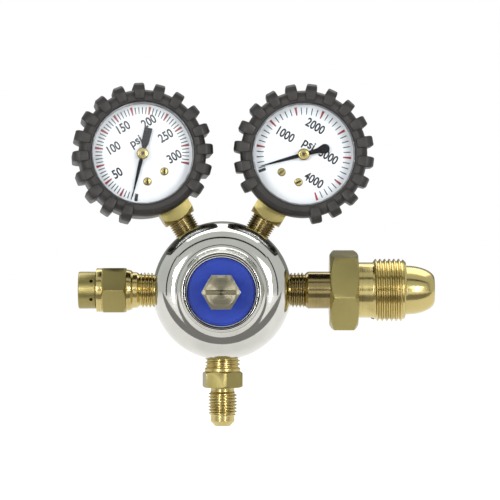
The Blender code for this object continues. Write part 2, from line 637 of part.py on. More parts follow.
def build_dial(side, face):
    posts = [polar(DIAL_SCREW_REACH, 270 + s * DIAL_SCREW_ANGLE) for s in (-1, 1)]
    sheet(side + "_dial", [circle(DIAL_R, count=40), circle(1.4 * MM, count=16)]
          + [circle(1.0 * MM, p, 12) for p in posts],
          DIAL_BACK, DIAL_BACK + DIAL_T, face, DIAL)
    for tag, (x, y) in zip("ab", posts):
        seat = frame("%s_screw_%s_axis" % (side, tag), face, (x, y, 0))
        low = DIAL_BACK + DIAL_T + GAP
        screw = turned("%s_dial_screw_%s" % (side, tag), [
            (0, low + 0.55 * MM), (1.2 * MM, low + 0.5 * MM), (1.6 * MM, low + 0.15 * MM),
            (1.6 * MM, low), (0.7 * MM, low), (0.7 * MM, 1.2 * MM), (0, 1.2 * MM)],
            12, seat, BRASS)
        cut(screw, block("%s_slot_%s" % (side, tag), (-2 * MM, -0.2 * MM, low + 0.25 * MM),
                         (2 * MM, 0.2 * MM, low + MM), seat))


def build_pointer(side, face, round_tail):
    needle = [(POINTER_REACH, 0.12 * MM), (9.0 * MM, 0.75 * MM), (1.9 * MM, 0.9 * MM)]
    if round_tail:
        tail = [(-2.0 * MM, 0.9 * MM), (-5.0 * MM, 1.1 * MM), (-8.6 * MM, 1.9 * MM),
                (-9.9 * MM, 1.3 * MM), (-POINTER_TAIL, 0.5 * MM)]
    else:
        tail = [(-2.0 * MM, 0.9 * MM), (-4.0 * MM, 1.5 * MM), (-POINTER_TAIL, 1.55 * MM)]
    upper = needle + [(1.2 * MM, 1.7 * MM), (-1.2 * MM, 1.7 * MM)] + tail
    outline = upper + [(x, -y) for x, y in reversed(upper)]
    sheet(side + "_pointer", [outline, circle(ARBOR_R + GAP, count=12)], POINTER_BACK,
          POINTER_BACK + POINTER_T, face, BLACK, rotation_z=POINTER_ZERO)
    low = POINTER_BACK + POINTER_T + GAP
    turned(side + "_pointer_hub", [
        (0, low + 0.9 * MM), (ARBOR_R + GAP, low + 0.9 * MM), (ARBOR_R + GAP, low),
        (HUB_R, low), (HUB_R, low + 0.9 * MM), (HUB_R - 0.5 * MM, low + 1.4 * MM),
        (0.6 * MM, low + 1.4 * MM), (0, low + 1.3 * MM)][::-1], 16, face, BRASS)


def tooth(angle, pitch_r, pitch_angle):
    """Four corners of one straight-flanked tooth, in order of rising bearing."""
    half = degrees_of((pi * TOOTH_MODULE / 2 - BACKLASH) / 2, pitch_r)
    tip = half - degrees_of(ADDENDUM * tan(radians(24)), pitch_r)
    root, top = pitch_r - DEDENDUM, pitch_r + ADDENDUM
    return [polar(root, angle - half), polar(pitch_r, angle - half), polar(top, angle - tip),
            polar(top, angle + tip), polar(pitch_r, angle + half), polar(root, angle + half)]


def degrees_of(length, radius):
    return degrees(length / radius)


def build_movement(side, face):
    # pinion on its arbor, one tooth pointing at the sector's pivot
    step = 360 / PINION_TEETH
    outline = [p for k in range(PINION_TEETH)
               for p in tooth(SECTOR_SIDE + step * k, PINION_R, step)]
    arbor = sheet(side + "_arbor", [outline], -0.5 * MM, 1.1 * MM, face, BRASS)
    join(arbor, rod(side + "_shaft", ARBOR_R, (0, 0, -2.5 * MM), (0, 0, 7.7 * MM), face, sides=12))

    # sector: toothed arc, arm, hub and tail, about its own pivot
    pivot = polar(PINION_R + SECTOR_R, SECTOR_SIDE)
    axis = frame(side + "_sector_axis", face, (*pivot, 0))
    pitch = 360 / SECTOR_TEETH
    facing = SECTOR_SIDE + 180
    bearings = [facing + pitch / 2 - pitch * k for k in range(SECTOR_CUT)][::-1]
    arc = [p for b in bearings for p in tooth(b, SECTOR_R, pitch)]
    rim = SECTOR_R - DEDENDUM - 1.0 * MM
    low, high = bearings[0], bearings[-1]
    middle = (low + high) / 2
    arm = [polar(rim, high - 1), polar(rim, middle + 9), polar(1.7 * MM, middle + 38)]
    tail_side = [polar(1.7 * MM, TAIL_ANGLE - 120), polar(1.7 * MM, TAIL_ANGLE - 60),
                 polar(TAIL_REACH, TAIL_ANGLE - 16), polar(TAIL_REACH + 0.9 * MM, TAIL_ANGLE),
                 polar(TAIL_REACH, TAIL_ANGLE + 16), polar(1.7 * MM, TAIL_ANGLE + 60)]
    other = [polar(1.7 * MM, middle - 38), polar(rim, middle - 9), polar(rim, low + 1)]
    sector = sheet(side + "_sector", [arc + arm + tail_side + other,
                                      circle(ARBOR_R, count=12)],
                   SECTOR_BACK, SECTOR_BACK + SECTOR_T, axis, BRASS)
    join(sector,
         rod(side + "_sector_shaft", ARBOR_R + 0.02 * MM, (0, 0, -2.5 * MM), (0, 0, 3.1 * MM),
             axis, sides=12),
         rod(side + "_tail_pin", 0.35 * MM, polar(TAIL_REACH, TAIL_ANGLE, 0),
             polar(TAIL_REACH, TAIL_ANGLE, LINK_BACK + LINK_T + 0.2 * MM), axis, sides=10))

    # two plates on pillars
    hole = ARBOR_R + RUN
    outline = [(-4.6 * MM, -4.4 * MM), (10.8 * MM, -4.9 * MM), (10.8 * MM, 4.2 * MM),
               (-4.6 * MM, 4.2 * MM)]
    foot = TUBE_R - 3.2 * MM
    tab = [(-4.6 * MM, -4.4 * MM), (-2.1 * MM, -4.5 * MM), (-2.1 * MM, -foot),
           (2.1 * MM, -foot), (2.1 * MM, -4.6 * MM), (10.8 * MM, -4.9 * MM),
           (10.8 * MM, 4.2 * MM), (-4.6 * MM, 4.2 * MM)]
    holes = [circle(hole, count=16), circle(hole, pivot, 16)]
    plates = sheet(side + "_movement_frame", [tab] + holes, -2.2 * MM, -1.4 * MM, face, BRASS)
    front = sheet(side + "_front_plate", [outline] + holes, 2.2 * MM, 3.0 * MM, face)
    join(plates, front)
    for k, (x, y) in enumerate(((-3.4, 2.9), (-3.4, -3.1), (9.3, 2.9))):
        join(plates, rod("%s_pillar_%d" % (side, k), 0.8 * MM, (x * MM, y * MM, -1.8 * MM),
                         (x * MM, y * MM, 2.6 * MM), face, sides=8))

    # link from the tube's tip up to the sector's tail
    upper = Vector(pivot) + Vector(polar(TAIL_REACH, TAIL_ANGLE))
    lower = Vector(polar(TUBE_R, TUBE_END)) + Vector((-0.74 * MM, 1.44 * MM))
    link_axis = frame(side + "_link_axis", face, (*upper, 0))
    drop = lower - upper
    bearing = atan2(drop.y, drop.x)
    half = 0.75 * MM
    normal = Vector((-sin(bearing), cos(bearing))) * half
    ends = []
    for centre, start in ((drop, -90), (Vector((0, 0)), 90)):
        for k in range(7):
            a = bearing + radians(start + 30 * k)
            ends.append((centre.x + 1.05 * MM * cos(a), centre.y + 1.05 * MM * sin(a)))
    sheet(side + "_link", [ends, circle(0.35 * MM + RUN, count=12),
                           circle(0.35 * MM + RUN, drop, 12)],
          LINK_BACK, LINK_BACK + LINK_T, link_axis, STEEL)

    # hairspring round the arbor
    turns, per_turn = 2.5, 10
    points = []
    for k in range(int(turns * per_turn) + 1):
        t = k / per_turn
        radius = 1.05 * MM + 0.62 * MM * t
        points.append((*polar(radius, 360 * t), 1.65 * MM))
    wire(side + "_hairspring", points, 0.1 * MM, face, SPRING, resolution=0)
    return lower


def build_tube(side, face, tip):
    """Flattened C-tube, with the closed end that carries the link's lower pin."""
    count = 30
    points = []
    for k in range(count + 1):
        angle = TUBE_START + (TUBE_END - TUBE_START) * k / count
        points.append((*polar(TUBE_R, angle), 0))
    curve = bpy.data.curves.new(side + "_tube_path", "CURVE")
    curve.dimensions = "3D"
    curve.bevel_depth = TUBE_THICK
    curve.bevel_resolution = 1
    curve.use_fill_caps = True
    spline = curve.splines.new("POLY")
    spline.points.add(count)
    for point, co in zip(spline.points, points):
        point.co = (*co, 1)
    source = bpy.data.objects.new(side + "_tube_path", curve)
    TOOLS.objects.link(source)
    bpy.context.view_layer.update()
    mesh = bpy.data.meshes.new_from_object(
        source.evaluated_get(bpy.context.evaluated_depsgraph_get()))
    bpy.data.objects.remove(source, do_unlink=True)
    bm = bmesh.new()
    bm.from_mesh(mesh)
    bmesh.ops.remove_doubles(bm, verts=bm.verts, dist=0.000001)
    bmesh.ops.scale(bm, vec=(1, 1, TUBE_FLATTEN), verts=bm.verts)
    bmesh.ops.translate(bm, vec=(0, 0, TUBE_FRONT), verts=bm.verts)
    tube = place(mesh_object(side + "_bourdon_tube", bm), face, BRASS)
    end = Vector(polar(TUBE_R, TUBE_END))
    join(tube,
         block(side + "_tip_block", (tip.x - 1.1 * MM, end.y - 0.6 * MM, -2.4 * MM),
               (end.x + 0.5 * MM, tip.y + 1.1 * MM, LINK_BACK - GAP), face),
         rod(side + "_tip_pin", 0.35 * MM, (*tip, 0), (*tip, LINK_BACK + LINK_T + 0.2 * MM),
             face, sides=10))


def build_socket(side, face):
    block_low = -(GAUGE_REACH - SOCKET_BOTTOM)
    half = SOCKET_HALF
    socket = block(side + "_socket", (-half, block_low, -half), (half, 2.6 * MM - TUBE_R, half),
                   face, BRASS)
    join(socket,
         block(side + "_pad", (-half, MM - TUBE_R, -half), (half, -6.2 * MM, -2.5 * MM), face),
         rod(side + "_thread", GAUGE_NPT_R, (0, block_low + MM, 0),
             (0, -(GAUGE_REACH - PORT_END - GAP), 0), face, sides=24,
             end_radius=GAUGE_NPT_R - 0.3 * MM))
    for s in (-1, 1):
        x, y = polar(DIAL_SCREW_REACH, 270 + s * DIAL_SCREW_ANGLE)
        tag = "%s_post_%d" % (side, s + 1)
        join(socket, rod(tag, 1.5 * MM, (x, y, -3 * MM), (x, y, DIAL_BACK - GAP), face, sides=14))
        cut(socket, rod(tag + "_hole", 1.0 * MM, (x, y, 0.6 * MM), (x, y, DIAL_BACK + MM),
                        face, sides=12))
    cut(socket,
        block(side + "_relief", (-half - MM, 0.4 * MM - CASE_R, 2.2 * MM),
              (half + MM, -SLOT_TOP + 2 * MM, 8 * MM), face),
        rod(side + "_passage", 1.4 * MM, (0, -(GAUGE_REACH - PORT_END) - MM, 0), (0, 1.3 * MM - TUBE_R, 0),
            face, sides=12),
        rod(side + "_cross", 1.1 * MM, (-half - MM, MM - TUBE_R, -1.0 * MM), (0.4 * MM, MM - TUBE_R,
            -0.6 * MM), face, sides=12))


def build_gauge(side, root, lean, twist, mirror):
    stem = frame(side + "_stem", root, rotation=(0, lean, 0))
    turn = frame(side + "_turn", stem, (0, 0, GAUGE_REACH), (0, 0, twist))
    face = frame(side + "_face", turn, rotation=(90, 0, 0))
    build_boot(side, face, mirror)
    build_case(side, face)
    build_dial(side, face)
    build_pointer(side, face, mirror)
    tip = build_movement(side, face)
    build_tube(side, face, tip)
    build_socket(side, face)


def finish_shading():
    for obj in PARTS.objects:
        if obj.type == "MESH":
            obj.data.shade_smooth()
            obj.data.set_sharp_from_angle(angle=radians(35))


def build():
    root = frame("regulator", location=(-INLET_REACH, 0, 0))
    face = frame("body_face", root, rotation=(90, 0, 0))
    build_body(face)
    build_bonnet(face)
    build_label_disc(face)
    build_adjusting_screw(face)
    build_spring_button(face)
    build_diaphragm_group(face)
    build_valve(face)
    build_inlet(frame("inlet_axis", root, rotation=(0, 90, 0)))
    build_relief(frame("relief_axis", root, rotation=(0, -90, 0)))
    build_outlet(frame("outlet_axis", root, rotation=(180, 0, 0)))
    build_gauge("left", root, -GAUGE_LEAN, LEFT_TWIST, False)
    build_gauge("right", root, GAUGE_LEAN, 0.0, True)
    finish_shading()


clear_scene()
PARTS = collection("gas_regulator")
TOOLS = collection("cutters")
BRASS = material("brass", (0.52, 0.42, 0.18), 1.0, 0.32)
CHROME = material("chrome", (0.72, 0.73, 0.74), 1.0, 0.08)
STEEL = material("steel", (0.50, 0.51, 0.52), 1.0, 0.25)
SPRING = material("spring_steel", (0.36, 0.37, 0.39), 1.0, 0.3)
RUBBER = material("rubber", (0.045, 0.04, 0.037), 0.0, 0.6)
BLUE = material("blue_plastic", (0.03, 0.06, 0.36), 0.0, 0.35)
CASE = material("case_steel", (0.30, 0.31, 0.32), 1.0, 0.35)
DIAL = material("dial_white", (0.86, 0.86, 0.84), 0.0, 0.45)
GLASS = material("lens_clear", (0.9, 0.93, 0.95), 0.0, 0.05, alpha=0.35)
BLACK = material("pointer_black", (0.02, 0.02, 0.02), 0.0, 0.4)
SEAT = material("seat_plastic", (0.85, 0.84, 0.80), 0.0, 0.5)
BRONZE = material("bronze_filter", (0.42, 0.27, 0.13), 1.0, 0.6)
build()
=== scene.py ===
from math import asin, atan2, cos, degrees, hypot, pi, radians, sin, sqrt, tan

import bpy
from bpy.props import FloatProperty, FloatVectorProperty, IntProperty, PointerProperty
from mathutils import Matrix, Vector


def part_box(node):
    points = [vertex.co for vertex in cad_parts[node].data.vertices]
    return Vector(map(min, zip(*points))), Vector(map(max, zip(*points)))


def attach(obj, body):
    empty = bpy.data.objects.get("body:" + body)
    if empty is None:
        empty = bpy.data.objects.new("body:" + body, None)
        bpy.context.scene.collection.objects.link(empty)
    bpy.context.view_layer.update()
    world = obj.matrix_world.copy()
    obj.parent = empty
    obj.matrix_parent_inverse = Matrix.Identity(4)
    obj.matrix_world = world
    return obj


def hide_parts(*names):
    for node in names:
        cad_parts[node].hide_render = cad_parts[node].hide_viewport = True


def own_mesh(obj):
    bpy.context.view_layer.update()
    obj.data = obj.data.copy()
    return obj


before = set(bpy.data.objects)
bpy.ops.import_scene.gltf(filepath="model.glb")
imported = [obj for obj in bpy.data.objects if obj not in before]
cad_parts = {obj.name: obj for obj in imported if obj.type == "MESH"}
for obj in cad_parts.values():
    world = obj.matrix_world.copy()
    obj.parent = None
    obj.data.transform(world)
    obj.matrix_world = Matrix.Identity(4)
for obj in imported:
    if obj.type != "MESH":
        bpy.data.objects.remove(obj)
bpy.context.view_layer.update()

bl_info = {
    "name": "Gas Regulator",
    "version": (1, 0, 0),
    "blender": (4, 5, 0),
    "location": "3D Viewport > Sidebar > Regulator",
    "description": "Models a brass gas regulator with two booted gauges, piece by piece",
    "category": "Object",
}

MM = 0.001


def linear(code):
    """sRGB hex value to linear red, green and blue."""
    parts = [int(code[i:i + 2], 16) / 255 for i in (1, 3, 5)]
    return tuple(c / 12.92 if c <= 0.04045 else ((c + 0.055) / 1.055) ** 2.4 for c in parts)


def length(name, about, default):
    return FloatProperty(name=name, description=about, default=default * MM, min=0.0,
                         subtype="DISTANCE", unit="LENGTH", precision=5)


def colour(name, about, code):
    return FloatVectorProperty(name=name, description=about, default=linear(code), min=0.0,
                               max=1.0, size=3, subtype="COLOR")


# the lines that the pieces stand on, as in the frame: local z runs along each one

CENTRE = Matrix.Translation((-0.0826, 0, 0))


def turn(angle, axis):
    return Matrix.Rotation(radians(angle), 4, axis)


FRONT = CENTRE @ turn(90, "X")
INLET = CENTRE @ turn(90, "Y")
RELIEF = CENTRE @ turn(-90, "Y")
OUTLET = CENTRE @ turn(180, "X")
REACH = 61.4                    # mm from the body's centre to the centre of a dial
ASIDE = 31.5                    # mm from the body's middle plane to the centre of a dial
LEAN = {s: sign * degrees(asin(ASIDE / REACH)) for s, sign in (("left", -1), ("right", 1))}
TWIST = {"left": 5, "right": 0}
STEM = {s: CENTRE @ turn(LEAN[s], "Y") @ turn(TWIST[s], "Z") for s in LEAN}
DIAL = {s: STEM[s] @ Matrix.Translation((0, 0, REACH * MM)) @ turn(90, "X") for s in LEAN}
ZERO, SWEEP, REST = 234.5, 277, 226    # degrees: a scale's start and sweep, and the pointer
# where the two screws of a dial stand, in mm from its centre
SCREWS = {tag: (10.9 * cos(radians(a)), 10.9 * sin(radians(a)))
          for tag, a in (("a", 249.5), ("b", 290.5))}


# modelling by hand: rings drawn out along an axis, bars, threads

def let_go():
    if bpy.context.mode != "OBJECT":
        bpy.ops.object.mode_set(mode="OBJECT")
    bpy.ops.object.select_all(action="DESELECT")


def take(*objs):
    let_go()
    for obj in objs:
        obj.select_set(True)
    bpy.context.view_layer.objects.active = objs[0]


def named(name):
    """The piece just made, under its name."""
    obj = bpy.context.object
    obj.name = name
    return obj


def edit():
    bpy.ops.object.mode_set(mode="EDIT")
    bpy.ops.mesh.select_all(action="SELECT")


def pick_open_edges():
    bpy.ops.mesh.select_mode(type="EDGE")
    bpy.ops.mesh.select_all(action="DESELECT")
    bpy.ops.mesh.select_non_manifold(extend=False)


def eased(points, ease=0.15, steps=3):
    """Profile in mm with its corners rounded; a third number gives a corner its own radius."""
    out = []
    for i, p in enumerate(points):
        if i in (0, len(points) - 1):
            out.append(p[:2])
            continue
        a, b, c = (Vector(q[:2]) for q in (points[i - 1], p, points[i + 1]))
        into, away = b - a, c - b
        radius = p[2] if len(p) > 2 else ease
        bend = into.angle(away) if into.length and away.length else 0
        if bend < radians(12) or radius == 0:
            out.append(tuple(b))
            continue
        reach = min(radius * tan(bend / 2), 0.45 * into.length, 0.45 * away.length)
        start, end = b - into.normalized() * reach, b + away.normalized() * reach
        for k in range(steps + 1):
            t = k / steps
            q = start * (1 - t) ** 2 + b * 2 * t * (1 - t) + end * t ** 2
            out.append((q.x, q.y))
    return out


def turned(name, points, around=96, ring=False):
    """Circle drawn out and scaled ring by ring along z. A ring piece joins its last ring
    to its first; any other is closed flat at both ends."""
    points = [(max(r, 0.01) * MM, z * MM) for r, z in points]
    let_go()
    r, z = points[0]
    bpy.ops.mesh.primitive_circle_add(vertices=around, radius=r, location=(0, 0, z))
    obj = bpy.context.object
    bpy.ops.object.transform_apply()
    edit()
    for (r0, z0), (r1, z1) in zip(points, points[1:] + points[:1] * ring):
        bpy.ops.mesh.extrude_region_move(TRANSFORM_OT_translate={"value": (0, 0, z1 - z0)})
        bpy.ops.transform.resize(value=(r1 / r0, r1 / r0, 1), center_override=(0, 0, z1))
    if ring:
        bpy.ops.mesh.select_all(action="SELECT")
        bpy.ops.mesh.remove_doubles(threshold=1e-6)
    else:
        bpy.ops.mesh.edge_face_add()
        pick_open_edges()
        bpy.ops.mesh.edge_face_add()
    face_out(obj)
    return named(name)


def face_out(obj):
    """Merges seams and turns every face outwards."""
    if bpy.context.mode != "EDIT_MESH":
        take(obj)
        bpy.ops.object.mode_set(mode="EDIT")
    bpy.ops.mesh.select_mode(type="VERT")
    bpy.ops.mesh.select_all(action="SELECT")
    bpy.ops.mesh.remove_doubles(threshold=1e-7)
    bpy.ops.mesh.normals_make_consistent(inside=False)
    bpy.ops.object.mode_set(mode="OBJECT")


def bar(name, radius, low, high, sides=48, at=(0, 0), phase=0.0):
    """Straight bar or hexagon along z, in mm."""
    let_go()
    bpy.ops.mesh.primitive_cylinder_add(
        vertices=sides, radius=radius * MM, depth=(high - low) * MM,
        location=(at[0] * MM, at[1] * MM, (low + high) / 2 * MM),
        rotation=(0, 0, radians(phase + 90)))
    bpy.ops.object.transform_apply()
    return named(name)


def box(name, low, high):
    """Block between two corners, in mm."""
    let_go()
    size = [(b - a) * MM for a, b in zip(low, high)]
    middle = [(a + b) / 2 * MM for a, b in zip(low, high)]
    bpy.ops.mesh.primitive_cube_add(size=1, location=middle, scale=size)
    bpy.ops.object.transform_apply()
    return named(name)


def slab(name, outline, low, high):
    """Flat outline in mm drawn up along z."""
    let_go()
    bpy.ops.mesh.primitive_circle_add(vertices=len(outline), fill_type="NGON")
    obj = bpy.context.object
    for v, (x, y) in zip(obj.data.vertices, outline):
        v.co = (x * MM, y * MM, low * MM)
    edit()
    bpy.ops.mesh.extrude_region_move(TRANSFORM_OT_translate={"value": (0, 0, (high - low) * MM)})
    face_out(obj)
    return named(name)


def carve(obj, tool, how="DIFFERENCE"):
    """Boolean with a tool shape that is used up."""
    take(obj)
    mod = obj.modifiers.new("carve", "BOOLEAN")
    mod.operation, mod.solver, mod.object = how, "EXACT", tool
    bpy.ops.object.modifier_apply(modifier=mod.name)
    bpy.data.objects.remove(tool, do_unlink=True)
    return obj


def edge_round(obj, width, segments=2, angle=35):
    take(obj)
    mod = obj.modifiers.new("round", "BEVEL")
    mod.width, mod.segments = width * MM, segments
    mod.limit_method, mod.angle_limit = "ANGLE", radians(angle)
    mod.harden_normals = False
    bpy.ops.object.modifier_apply(modifier=mod.name)


def weld(name, *objs):
    """Joins shapes into one mesh."""
    take(*objs)
    if len(objs) > 1:
        bpy.ops.object.join()
    return named(name)


def copies(obj, places):
    """A copy of the shape, with its own mesh, at each place."""
    made = []
    for place in places:
        twin = obj.copy()
        twin.data = obj.data.copy()
        bpy.context.collection.objects.link(twin)
        twin.matrix_world = place
        made.append(twin)
    bpy.data.objects.remove(obj, do_unlink=True)
    take(*made)
    bpy.ops.object.transform_apply()
    return made


def hexagon(name, across, low, high, phase, chamfer, hole, edge=0.12):
    """Bored hexagon with its corners turned off at both ends and its edges just broken."""
    corner, flat = across / sqrt(3), across / 2
    obj = bar(name, corner, low, high, 6, phase=phase)
    carve(obj, turned("corner_cut", [
        (0.5, low - 1), (flat * 0.965, low - 1), (flat * 0.965, low), (corner + 0.4, low + chamfer),
        (corner + 0.4, high - chamfer), (flat * 0.965, high), (flat * 0.965, high + 1),
        (0.5, high + 1)], 96), "INTERSECT")
    edge_round(obj, edge, 2, 25)
    return carve(obj, bar("hole_tool", hole, low - 1.5, high + 1.5))


def wind(obj, turns, rise, around):
    """Draws a section round the z axis on a helix. mm."""
    mod = obj.modifiers.new("helix", "SCREW")
    mod.angle, mod.screw_offset = 2 * pi * turns, rise * MM
    mod.steps = mod.render_steps = int(around * turns)
    mod.use_smooth_shade = False
    bpy.ops.object.modifier_apply(modifier=mod.name)


def close_ends(obj, name):
    """Fills the two open ends of a wound section."""
    bpy.ops.object.mode_set(mode="EDIT")
    pick_open_edges()
    bpy.ops.mesh.fill_holes(sides=0)
    face_out(obj)
    return named(name)


def thread(name, core, crest, pitch, low, high, taper=0.0, around=56):
    """Raised helix with a flat crest on a core radius, run out at both ends. mm."""
    let_go()
    half, top = pitch * 0.44, pitch * 0.09
    bpy.ops.mesh.primitive_plane_add(size=1)
    obj = bpy.context.object
    section = ((core - 0.25, -half), (crest, -top), (crest, top), (core - 0.25, half))
    for v, (r, z) in zip(sorted(obj.data.vertices, key=lambda v: atan2(v.co.y, v.co.x)), section):
        v.co = (r * MM, 0, (low + z) * MM)
    bpy.ops.object.mode_set(mode="EDIT")
    bpy.ops.mesh.select_mode(type="FACE")
    bpy.ops.mesh.select_all(action="SELECT")
    bpy.ops.mesh.delete(type="ONLY_FACE")
    bpy.ops.object.mode_set(mode="OBJECT")
    wind(obj, (high - low) / pitch, high - low, around)
    for v in obj.data.vertices:
        r, z = hypot(v.co.x, v.co.y) / MM, v.co.z / MM
        limit = core - 0.2 + min(z - low, high - z) + 0.1 * pitch
        new = max(min(r, limit), core - 0.3) - taper * (z - low)
        v.co.x, v.co.y = v.co.x * new / r, v.co.y * new / r
    return close_ends(obj, name)


def spring(name, radius, wire, low, high, turns, around=40):
    """Compression spring between two seats, its end turns closed up. mm."""
    let_go()
    sides = 12
    bpy.ops.mesh.primitive_circle_add(vertices=sides, radius=wire * MM, rotation=(pi / 2, 0, 0),
                                      location=(radius * MM, 0, 0))
    obj = bpy.context.object
    bpy.ops.object.transform_apply()
    wind(obj, turns, high - low, around)
    dead, rise = 2.2 * wire, high - low - 2 * wire
    for v in obj.data.vertices:
        t = v.index // sides / around
        evenly = (high - low) * t / turns
        closed = (min(t, 1) + max(t - (turns - 1), 0)) * dead \
            + (rise - 2 * dead) * min(max((t - 1) / (turns - 2), 0), 1)
        v.co.z += (low + wire + closed - evenly) * MM
    return close_ends(obj, name)


def set_in(obj, place, slot, material, *nodes, body="regulator", smooth=32):
    """Moves a finished piece from its own axis to its place on the object, and hangs it there."""
    take(obj)
    obj.matrix_world = place
    bpy.ops.object.transform_apply()
    bpy.ops.object.shade_smooth_by_angle(angle=radians(smooth))
    obj.data.materials.clear()
    obj.data.materials.append(material)
    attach(obj, body)
    if nodes:
        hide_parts(*nodes)


# materials

def socket(value):
    """A node stands for its first output."""
    return value.outputs[0] if isinstance(value, bpy.types.Node) else value


def add(tree, kind, inputs=None, stops=(), **settings):
    """Adds a node with its settings; an input is a value, a node or a node's socket, and a
    ramp's stop is its place, a colour and how bright that is."""
    node = tree.nodes.new("ShaderNode" + kind)
    for key, value in settings.items():
        setattr(node, key, value)
    for key, value in (inputs or {}).items():
        if isinstance(socket(value), bpy.types.NodeSocket):
            tree.links.new(socket(value), node.inputs[key])
        else:
            node.inputs[key].default_value = value
    for _ in stops[2:]:
        node.color_ramp.elements.new(0.5)
    for i, (place, code, bright) in enumerate(stops):
        base = linear(code) if isinstance(code, str) else code
        node.color_ramp.elements[i].position = place
        node.color_ramp.elements[i].color = (*(min(1, c * bright) for c in base), 1)
    return node


def blank(name, place=None, **sockets):
    """A material, its nodes, and Object coordinates, turned so that z runs along the axis of
    the piece that stands in that place."""
    mat = bpy.data.materials.new(name)
    mat.use_nodes = True
    tree = mat.node_tree
    for key, value in sockets.items():
        tree.nodes["Principled BSDF"].inputs[key.replace("_", " ")].default_value = value
    where = add(tree, "TexCoord").outputs["Object"]
    if place is not None:
        where = add(tree, "Mapping", {
            "Vector": where, "Location": place.to_translation(),
            "Rotation": place.to_euler()}, vector_type="TEXTURE")
    return mat, tree, where


def dress(mat, base, rough=None, grain=None, depth=0.0, strength=1.0, tangent=None):
    """Joins a finish to its shader, its grain as a bump of so many mm."""
    tree = mat.node_tree
    bump = grain and add(tree, "Bump", {
        "Height": grain, "Distance": depth * MM, "Strength": strength})
    for name, value in (("Base Color", base), ("Roughness", rough), ("Normal", bump),
                        ("Tangent", tangent)):
        if value:
            tree.links.new(socket(value), tree.nodes["Principled BSDF"].inputs[name])
    return mat


def shown(mat, shader):
    """Puts another shader in front of the material's output."""
    tree = mat.node_tree
    tree.links.new(socket(shader), tree.nodes["Material Output"].inputs["Surface"])
    return mat


def spots(tree, where):
    """X, Y and Z of a point, and R, how far it is from the piece's axis."""
    flat = add(tree, "VectorMath", {0: where, 1: (1, 1, 0)}, operation="MULTIPLY")
    radius = add(tree, "VectorMath", {0: flat}, operation="LENGTH")
    parts = add(tree, "SeparateXYZ", {0: where})
    return dict(parts.outputs.items(), R=radius.outputs["Value"])


def tooled(tree, where, pitch, patch, detail, dull, swing):
    """Marks that change only along the axis and the radius, as a tool leaves them so many mm
    apart, stains so many mm across, and the roughness that the two add up to."""
    spot = spots(tree, where)
    line = add(tree, "CombineXYZ", {"X": spot["R"], "Y": spot["Z"]})
    marks = add(tree, "TexNoise", {
        "Vector": line, "Scale": 1 / (pitch * MM), "Detail": 2.0, "Roughness": 0.65})
    stain = add(tree, "TexNoise", {
        "Vector": where, "Scale": 1 / (patch * MM), "Detail": detail})
    parts = [add(tree, "MapRange", {
        "Value": value, "From Min": 0.25, "From Max": 0.75, "To Min": low, "To Max": high})
        for value, (low, high) in ((stain, dull), (marks, swing))]
    rough = add(tree, "Math", {0: parts[0], 1: parts[1]}, operation="ADD")
    return spot, marks, stain, rough


def patchy(material, size, detail, stops, dull=None, grain=None, fine=3.0, **bump):
    """Dresses a material in soft patches so many mm across, which set its colour and spread
    its roughness over a range, with a finer grain as its bump."""
    mat, tree, where = material
    patches = add(tree, "TexNoise", {
        "Vector": where, "Scale": 1 / (size * MM), "Detail": detail})
    rough = dull and add(tree, "MapRange", {
        "Value": patches, "From Min": 0.25, "From Max": 0.75, "To Min": dull[0],
        "To Max": dull[1]})
    skin = grain and add(tree, "TexNoise", {
        "Vector": where, "Scale": 1 / (grain * MM), "Detail": fine})
    return dress(mat, add(tree, "ValToRGB", {"Fac": patches}, stops), rough, skin, **bump)


# colours of a turned piece's other zones, each with the roughness that it adds
PAINTED_RECESS_SHADE = ("#5E5A4A", 0)           # painted shade: a darker colour in the bottom of a slot or dimple
CLEAN = ("#C8B77B", 0)          # rubbed bright in use
SKIN = ("#A0945F", 0.14)        # left as the bar was drawn


def turned_metal(name, light, dark, roughness, place, pitch=0.35, depth=0.004, patch=6.0,
                 stretch=0.55, zones=()):
    """Metal cut on a lathe: fine rings that stretch its highlights, and faint handling marks.
    A zone has its colour and the ranges in mm that it fills."""
    mat, tree, where = blank(name, place, Metallic=1.0, Anisotropic=stretch,
                             Anisotropic_Rotation=0.25)
    spot, marks, stain, rough = tooled(tree, where, pitch, patch, 4.0,
                                       (roughness * 0.8, roughness * 1.3), (-0.04, 0.05))
    tone = add(tree, "Math", {0: marks, 1: stain}, operation="MULTIPLY")
    base = add(tree, "ValToRGB", {"Fac": tone}, [(0.08, dark, 1), (0.26, light, 1)])
    for (code, dull), ranges in zones:
        share = 1.0
        for axis, (low, high) in ranges.items():
            inside = add(tree, "Math", {
                0: spot[axis], 1: (low + high) / 2 * MM, 2: (high - low) / 2 * MM},
                operation="COMPARE")
            share = add(tree, "Math", {0: share, 1: inside}, operation="MULTIPLY")
        base = add(tree, "Mix", {0: share, 6: base, 7: (*linear(code), 1)},
                   data_type="RGBA").outputs[2]
        rough = add(tree, "Math", {0: share, 1: dull, 2: rough}, operation="MULTIPLY_ADD")
    # The tangent runs along the rings, and the highlights' long side a quarter turn from it.
    way = add(tree, "VectorMath", {0: (0, 0, 1), 1: where}, operation="CROSS_PRODUCT")
    way = add(tree, "Mapping", {"Vector": way, "Rotation": place.to_euler()},
              vector_type="VECTOR")
    way = add(tree, "VectorTransform", {0: way}, vector_type="VECTOR",
              convert_from="OBJECT", convert_to="WORLD")
    way = add(tree, "VectorMath", {0: way}, operation="NORMALIZE")
    return dress(mat, base, rough, marks, depth, tangent=way)


